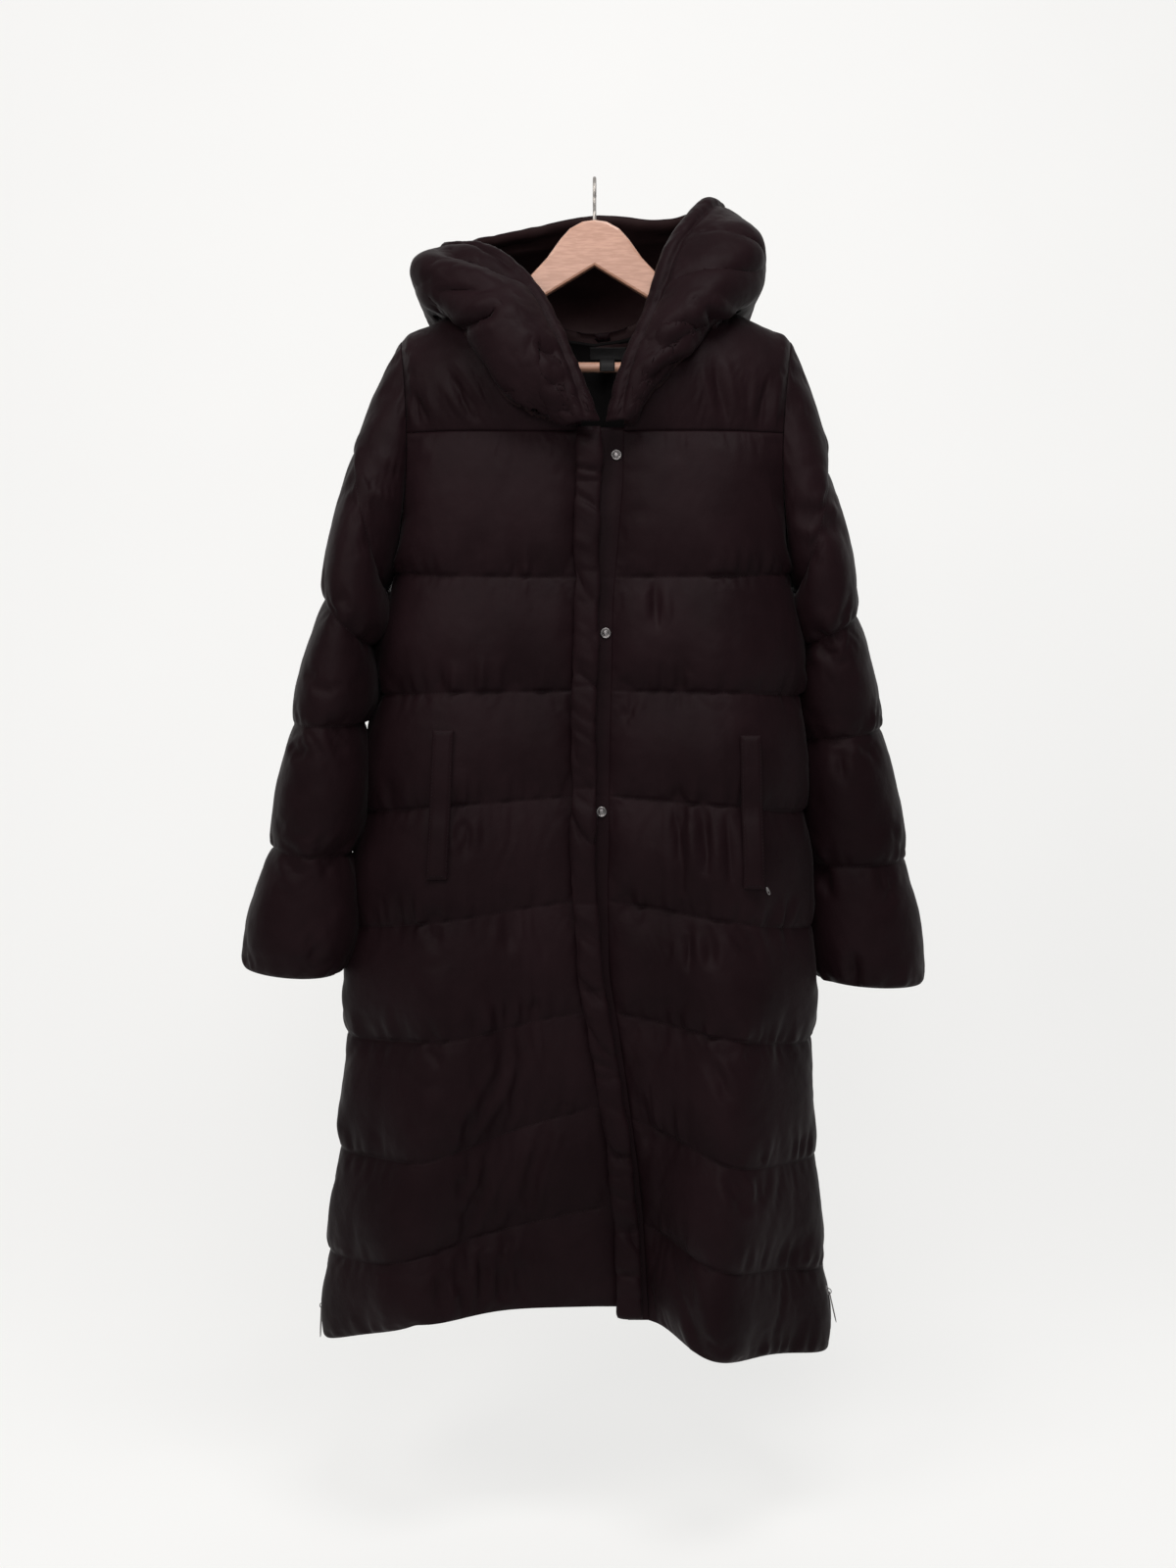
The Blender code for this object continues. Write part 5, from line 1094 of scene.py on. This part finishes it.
def make_labels(face):
    """A blank woven label on the lining, and the size tab that hangs forward over the bar."""
    tree, rows, cols = face_tree(face), 15, 41
    x = np.linspace(LABEL_X - LABEL_WIDTH / 2, LABEL_X + LABEL_WIDTH / 2, cols)
    z = np.linspace(LABEL_TOP, LABEL_TOP - LABEL_HEIGHT, rows)
    y = np.array([[tree.ray_cast(Vector((a, -1.0, h)), FORWARD)[0].y - 0.0005 for a in x] for h in z])
    curl = 0.0008 * smooth((z[0] - z)[:, None], LABEL_HEIGHT * 0.6, LABEL_HEIGHT)
    curl = curl * np.sin(math.pi * (x - x[0]) / LABEL_WIDTH)
    back = np.stack([x[None] + 0 * y, y - curl, z[:, None] + 0 * y], axis=2)
    front = back - (0.0, LABEL_THICK, 0.0)
    label = closed_wall("neck_label_cloth", front, back, False, [WOVEN, WOVEN], same=True)
    give(label, "neck_label")
    thread = Thread()
    ahead = np.repeat([[0.0, -1.0, 0.0]], rows, axis=0)
    for column in (1, -2):
        thread.add(front[:, column], ahead, width=0.0002)
    thread.finish("label_stitches", THREAD)
    reach = 0.0055 + 0.0016
    route = [(back[-1, cols // 2, 1] - 0.0028, back[-1, cols // 2, 2] + 0.0015), (0.018, BAR_Z + 0.011)]
    route += [(reach * math.cos(a), BAR_Z + reach * math.sin(a)) for a in np.radians((60, 100, 140, 175))]
    route.append((-reach, BAR_Z - 0.0050))
    line = spline([(0.0, a, b) for a, b in route], 61)
    run = unit(np.gradient(line, axis=0))
    square = np.stack([0 * run[:, 0], run[:, 2], -run[:, 1]], axis=1)
    grid = np.stack([line + (TAB_X + s * TAB_WIDTH / 2, 0.0, 0.0) for s in np.linspace(-1, 1, 9)], axis=1)
    shift = square[:, None, :] * LABEL_THICK / 2
    tab = closed_wall("size_tab_cloth", grid + shift, grid - shift, False, [WOVEN, WOVEN], same=True)
    give(tab, "size_tab")


def stitch_cloth(bodies, sleeves, hood):
    """Quilting stitches in the channels' seams, and the casing's stitches round the hood's edge."""
    thread = Thread()
    for panel in bodies:
        for row in range(2 * ROWS, len(panel.fine) - 1, 2 * ROWS):
            thread.add(panel.fine[row, 2:-2:2], panel.fine_normals[row, 2:-2:2])
    for panel in sleeves:
        for row in range(2 * ROWS, len(panel.fine) - 1, 2 * ROWS):
            loop = [*range(0, panel.fine.shape[1], 2), 0]
            thread.add(panel.fine[row, loop], panel.fine_normals[row, loop])
    for panel in hood:
        _, from_edge = edge_distance(panel.fine)
        column = int(np.argmin(np.abs(from_edge - CASING).mean(axis=0)))
        thread.add(panel.fine[2:-2, column], panel.fine_normals[2:-2, column])
    return thread


# ------------------------------------------------------------------ materials
def nodes_of(name, roughness, metallic=0.0, **settings):
    """A new Principled material; the settings are put on the shader's own sockets."""
    material = bpy.data.materials.new(name)
    material.use_nodes = True
    tree = material.node_tree
    shader = tree.nodes["Principled BSDF"]
    shader.inputs["Roughness"].default_value = roughness
    shader.inputs["Metallic"].default_value = metallic
    for key, value in settings.items():
        shader.inputs[key.replace("_", " ")].default_value = value
    return material, tree, shader


def add_node(tree, kind, inputs=(), **attributes):
    node = tree.nodes.new(kind)
    for key, value in attributes.items():
        setattr(node, key, value)
    for socket, value in dict(inputs).items():
        if isinstance(value, bpy.types.NodeSocket):
            tree.links.new(value, node.inputs[socket])
        else:
            node.inputs[socket].default_value = value
    return node


def object_place(tree):
    return add_node(tree, "ShaderNodeTexCoord").outputs["Object"]


def noise_node(tree, coordinate, scale, detail=3.0, rough=0.5):
    return add_node(tree, "ShaderNodeTexNoise", {"Vector": coordinate, "Scale": scale, "Detail": detail,
                                                 "Roughness": rough}).outputs["Fac"]


def ramp(tree, fac, low, high, start=0.0, end=1.0):
    node = add_node(tree, "ShaderNodeValToRGB", {"Fac": fac})
    for element, place, colour in zip(node.color_ramp.elements, (start, end), (low, high)):
        element.position = place
        element.color = (*colour, 1.0) if len(colour) == 3 else colour
    return node.outputs["Color"]


def bump(tree, height, distance, strength=1.0, normal=None):
    inputs = {"Height": height, "Distance": distance, "Strength": strength}
    if normal is not None:
        inputs["Normal"] = normal
    return add_node(tree, "ShaderNodeBump", inputs).outputs["Normal"]


def vary_roughness(tree, shader, fac, low, high):
    spread = add_node(tree, "ShaderNodeMapRange", {"Value": fac, "To Min": low, "To Max": high})
    tree.links.new(spread.outputs["Result"], shader.inputs["Roughness"])


MOTTLE_SCALE, PATCH_SCALE, CRINKLE_SCALE, WEAVE_SCALE = 9.0, 34.0, 75.0, 420.0
CRINKLE_BUMP, WEAVE_BUMP = 0.0011, 0.00006


def nylon(name, dark, light, roughness=0.5):
    """Fine plain-woven nylon: slightly mottled, with small crinkles and a thread-fine weave."""
    material, tree, shader = nodes_of(name, roughness, Specular_IOR_Level=0.040, Sheen_Weight=0.012,
                                      Sheen_Roughness=0.40)
    place = object_place(tree)
    mottle = noise_node(tree, place, MOTTLE_SCALE, 4.0, 0.6)
    tree.links.new(ramp(tree, mottle, dark, light, 0.35, 0.68), shader.inputs["Base Color"])
    patches = noise_node(tree, place, PATCH_SCALE, 3.0)
    vary_roughness(tree, shader, patches, roughness - 0.05, roughness + 0.09)
    crinkles = noise_node(tree, place, CRINKLE_SCALE, 4.0, 0.58)
    weave = [add_node(tree, "ShaderNodeTexWave", {"Vector": place, "Scale": WEAVE_SCALE, "Distortion": 0.4},
                      bands_direction=axis).outputs["Fac"] for axis in ("X", "Z")]
    threads = add_node(tree, "ShaderNodeMath", {0: weave[0], 1: weave[1]}, operation="MULTIPLY").outputs[0]
    soft = bump(tree, crinkles, CRINKLE_BUMP, 0.55)
    tree.links.new(bump(tree, threads, WEAVE_BUMP, 0.5, soft), shader.inputs["Normal"])
    return material


def wood(name, pale, dark):
    """Pale beech: long wavering grain along the hanger's arms, short flecks, and a satin lacquer."""
    material, tree, shader = nodes_of(name, 0.42, Coat_Weight=0.25, Coat_Roughness=0.28)
    place = object_place(tree)
    along_grain, along_flecks = (
        add_node(tree, "ShaderNodeMapping", {"Vector": place, "Scale": scale}).outputs["Vector"]
        for scale in ((9.0, 60.0, 70.0), (70.0, 420.0, 480.0)))
    grain = noise_node(tree, along_grain, 1.6, 5.0, 0.6)
    fleck = noise_node(tree, along_flecks, 1.0, 2.0)
    mixed = add_node(tree, "ShaderNodeMath", {0: grain, 1: fleck}, operation="MULTIPLY_ADD")
    mixed.inputs[1].default_value = 0.75
    tree.links.new(fleck, mixed.inputs[2])
    tree.links.new(ramp(tree, mixed.outputs[0], dark, pale, 0.62, 1.08), shader.inputs["Base Color"])
    tree.links.new(bump(tree, grain, 0.0002, 0.4), shader.inputs["Normal"])
    return material


def metal(name, colour, roughness):
    """Plated metal with faint brushing."""
    material, tree, shader = nodes_of(name, roughness, 1.0)
    shader.inputs["Base Color"].default_value = (*colour, 1.0)
    place = object_place(tree)
    wear = noise_node(tree, place, 260.0, 3.0)
    vary_roughness(tree, shader, wear, roughness - 0.08, roughness + 0.12)
    worn = tuple(c * 0.85 for c in colour)
    tree.links.new(ramp(tree, wear, worn, colour, 0.3, 0.6), shader.inputs["Base Color"])
    return material


def woven(name, dark, light):
    """A satin-woven label: fine ribs across it."""
    material, tree, shader = nodes_of(name, 0.6, Specular_IOR_Level=0.15)
    place = object_place(tree)
    ribs = add_node(tree, "ShaderNodeTexWave", {"Vector": place, "Scale": 260.0, "Distortion": 0.3},
                    bands_direction="Z").outputs["Fac"]
    tree.links.new(ramp(tree, ribs, dark, light), shader.inputs["Base Color"])
    tree.links.new(bump(tree, ribs, 0.0001, 0.6), shader.inputs["Normal"])
    return material


# ------------------------------------------------------------------ stage
BACKDROP_DISTANCE = 1.15
FLOOR_Z = -1.44
COVE_RADIUS = 0.6
STAGE_GLOW = 0.67           # the paper's own light, which keeps its shadows faint
ROOM_LIGHT = 0.20
LIGHTS = {                  # place, aim, size, power and colour
    "window": ((-1.2, -1.5, 0.8), (0.0, 0.0, -0.10), (0.8, 0.9), 22, (1.0, 0.96, 0.92)),
    "overhead": ((0.25, -1.05, 1.1), (0.0, 0.0, 0.0), (1.0, 0.6), 28, (1.0, 0.98, 0.97)),
    "front": ((-0.1, -2.3, 0.10), (0.0, 0.0, -0.1), (0.6, 0.6), 14, (1.0, 0.97, 0.96))}
FOCAL_LENGTH, SENSOR_WIDTH = 40.7, 36.0
CAMERA_PLACE = (-0.007, -1.9, -0.458)
CAMERA_DROP = 0.189         # the frame's middle lies this far below the level lens, which is shifted


def make_stage():
    """A seamless pale cove: a floor that curves up into a wall."""
    bend = BACKDROP_DISTANCE - COVE_RADIUS
    section = [(-3.2, 0.0), (bend, 0.0)]
    section += [(bend + COVE_RADIUS * math.sin(a), COVE_RADIUS - COVE_RADIUS * math.cos(a))
                for a in np.radians(np.arange(7.5, 90.0, 7.5))]
    section += [(BACKDROP_DISTANCE, COVE_RADIUS), (BACKDROP_DISTANCE, 4.2)]
    points = [(x, y, FLOOR_Z + z) for x in (-4.0, 4.0) for y, z in section]
    n = len(section)
    material, tree, shader = nodes_of("pale_paper", 0.9)
    place = object_place(tree)
    tree.links.new(ramp(tree, noise_node(tree, place, 3.0), (0.24, 0.24, 0.237), (0.26, 0.26, 0.257)),
                   shader.inputs["Base Color"])
    shader.inputs["Emission Color"].default_value = (1.0, 0.998, 0.985, 1.0)
    shader.inputs["Emission Strength"].default_value = STAGE_GLOW
    cove = mesh_object("cove", points, [(i, i + 1, n + i + 1, n + i) for i in range(n - 1)], [material])


def add_light(name, place, aim, size, power, colour):
    lamp = bpy.data.lights.new(name, "AREA")
    lamp.shape, lamp.size, lamp.size_y = "RECTANGLE", *size
    lamp.energy, lamp.color = power, colour
    item = bpy.data.objects.new(name, lamp)
    item.location = place
    item.rotation_euler = (Vector(aim) - Vector(place)).to_track_quat("-Z", "Y").to_euler()
    bpy.context.scene.collection.objects.link(item)


def light_scene():
    world = bpy.data.worlds.new("studio")
    world.use_nodes = True
    world.node_tree.nodes["Background"].inputs["Color"].default_value = (1.0, 1.0, 1.0, 1.0)
    world.node_tree.nodes["Background"].inputs["Strength"].default_value = ROOM_LIGHT
    bpy.context.scene.world = world
    bpy.context.scene.view_settings.view_transform = "Standard"
    for name, settings in LIGHTS.items():
        add_light(name, *settings)


def make_camera():
    lens = bpy.data.cameras.new("camera")
    lens.lens, lens.sensor_width, lens.clip_start = FOCAL_LENGTH, SENSOR_WIDTH, 0.05
    item = bpy.data.objects.new("camera", lens)
    item.location = CAMERA_PLACE
    item.rotation_euler = (math.radians(90), 0.0, 0.0)
    lens.shift_y = CAMERA_DROP / CAMERA_PLACE[1] * FOCAL_LENGTH / SENSOR_WIDTH
    bpy.context.scene.collection.objects.link(item)
    bpy.context.scene.camera = item


# ------------------------------------------------------------------ assembly
SHELL = nylon("shell_nylon", (0.0066, 0.0028, 0.0036), (0.0102, 0.0046, 0.0058))
# The hood's inner face: the shell nylon made about twice as light, painted light for the front light that
# reaches into the hood.
HOOD_INSIDE_PAINTED_LIGHT = nylon("hood_inside_painted_light", (0.0125, 0.0062, 0.0066), (0.0180, 0.0095, 0.0100))
INSIDE = nylon("lining_nylon", (0.0024, 0.0020, 0.0021), (0.0036, 0.0030, 0.0032), 0.6)
TAPE = woven("zip_tape_weave", (0.004, 0.0035, 0.0037), (0.009, 0.008, 0.0085))
WOVEN = woven("label_satin", (0.004, 0.0038, 0.004), (0.008, 0.0075, 0.008))
TEETH = nylon("coil_teeth", (0.006, 0.0055, 0.006), (0.010, 0.009, 0.010), 0.35)
THREAD = woven("thread", (0.008, 0.005, 0.0055), (0.014, 0.009, 0.010))
PLATED = metal("plated_silver", (0.20, 0.19, 0.19), 0.40)
STEEL = metal("hook_wire", (0.40, 0.38, 0.36), 0.48)
CLOTH = [SHELL, INSIDE]


def main():
    make_camera()
    make_stage()
    light_scene()
    bodies, fronts, back, facing = body_panels()
    panels = list(bodies.values()) + yoke_panels(fronts, back, facing)
    panels += [sleeve_panel(-1, "sleeve_right"), sleeve_panel(+1, "sleeve_left")]
    panels.append(underlap_panel(fronts[1][:, 0], facing[1][:, 0]))
    for panel in panels:
        panel.crumple()
    hood = hood_panels()
    simulate([panel for panel in panels if panel.name != "underlap"] + hood)
    for panel in panels:
        panel.keep_clear()
        finish_panel(panel, CLOTH)
    for panel in hood:
        # the hood's inner faces take the lighter copy of the shell nylon: painted light
        finish_hood(panel, [SHELL, HOOD_INSIDE_PAINTED_LIGHT])
    make_placket([SHELL])
    thread = stitch_cloth(list(bodies.values()), panels[6:8], hood)
    for name, panel in (("welt_right", bodies[-1]), ("welt_left", bodies[1])):
        make_welt(name, panel, thread)
    thread.finish("quilting_stitches", THREAD)
    make_snaps()
    make_pocket_pull()
    for tag, (side, z, lean) in VENT_ZIPS.items():
        make_vent_zip(tag, side, z, lean)
    make_labels(make_neck_lining(panels[5], bodies[0]))
    pale = wood("beech", (0.385, 0.205, 0.140), (0.310, 0.155, 0.100))
    for name, material in (("hanger_wood", pale), ("hanger_bar", pale), ("hanger_hook", STEEL)):
        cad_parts[name].data.materials.clear()
        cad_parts[name].data.materials.append(material)


main()
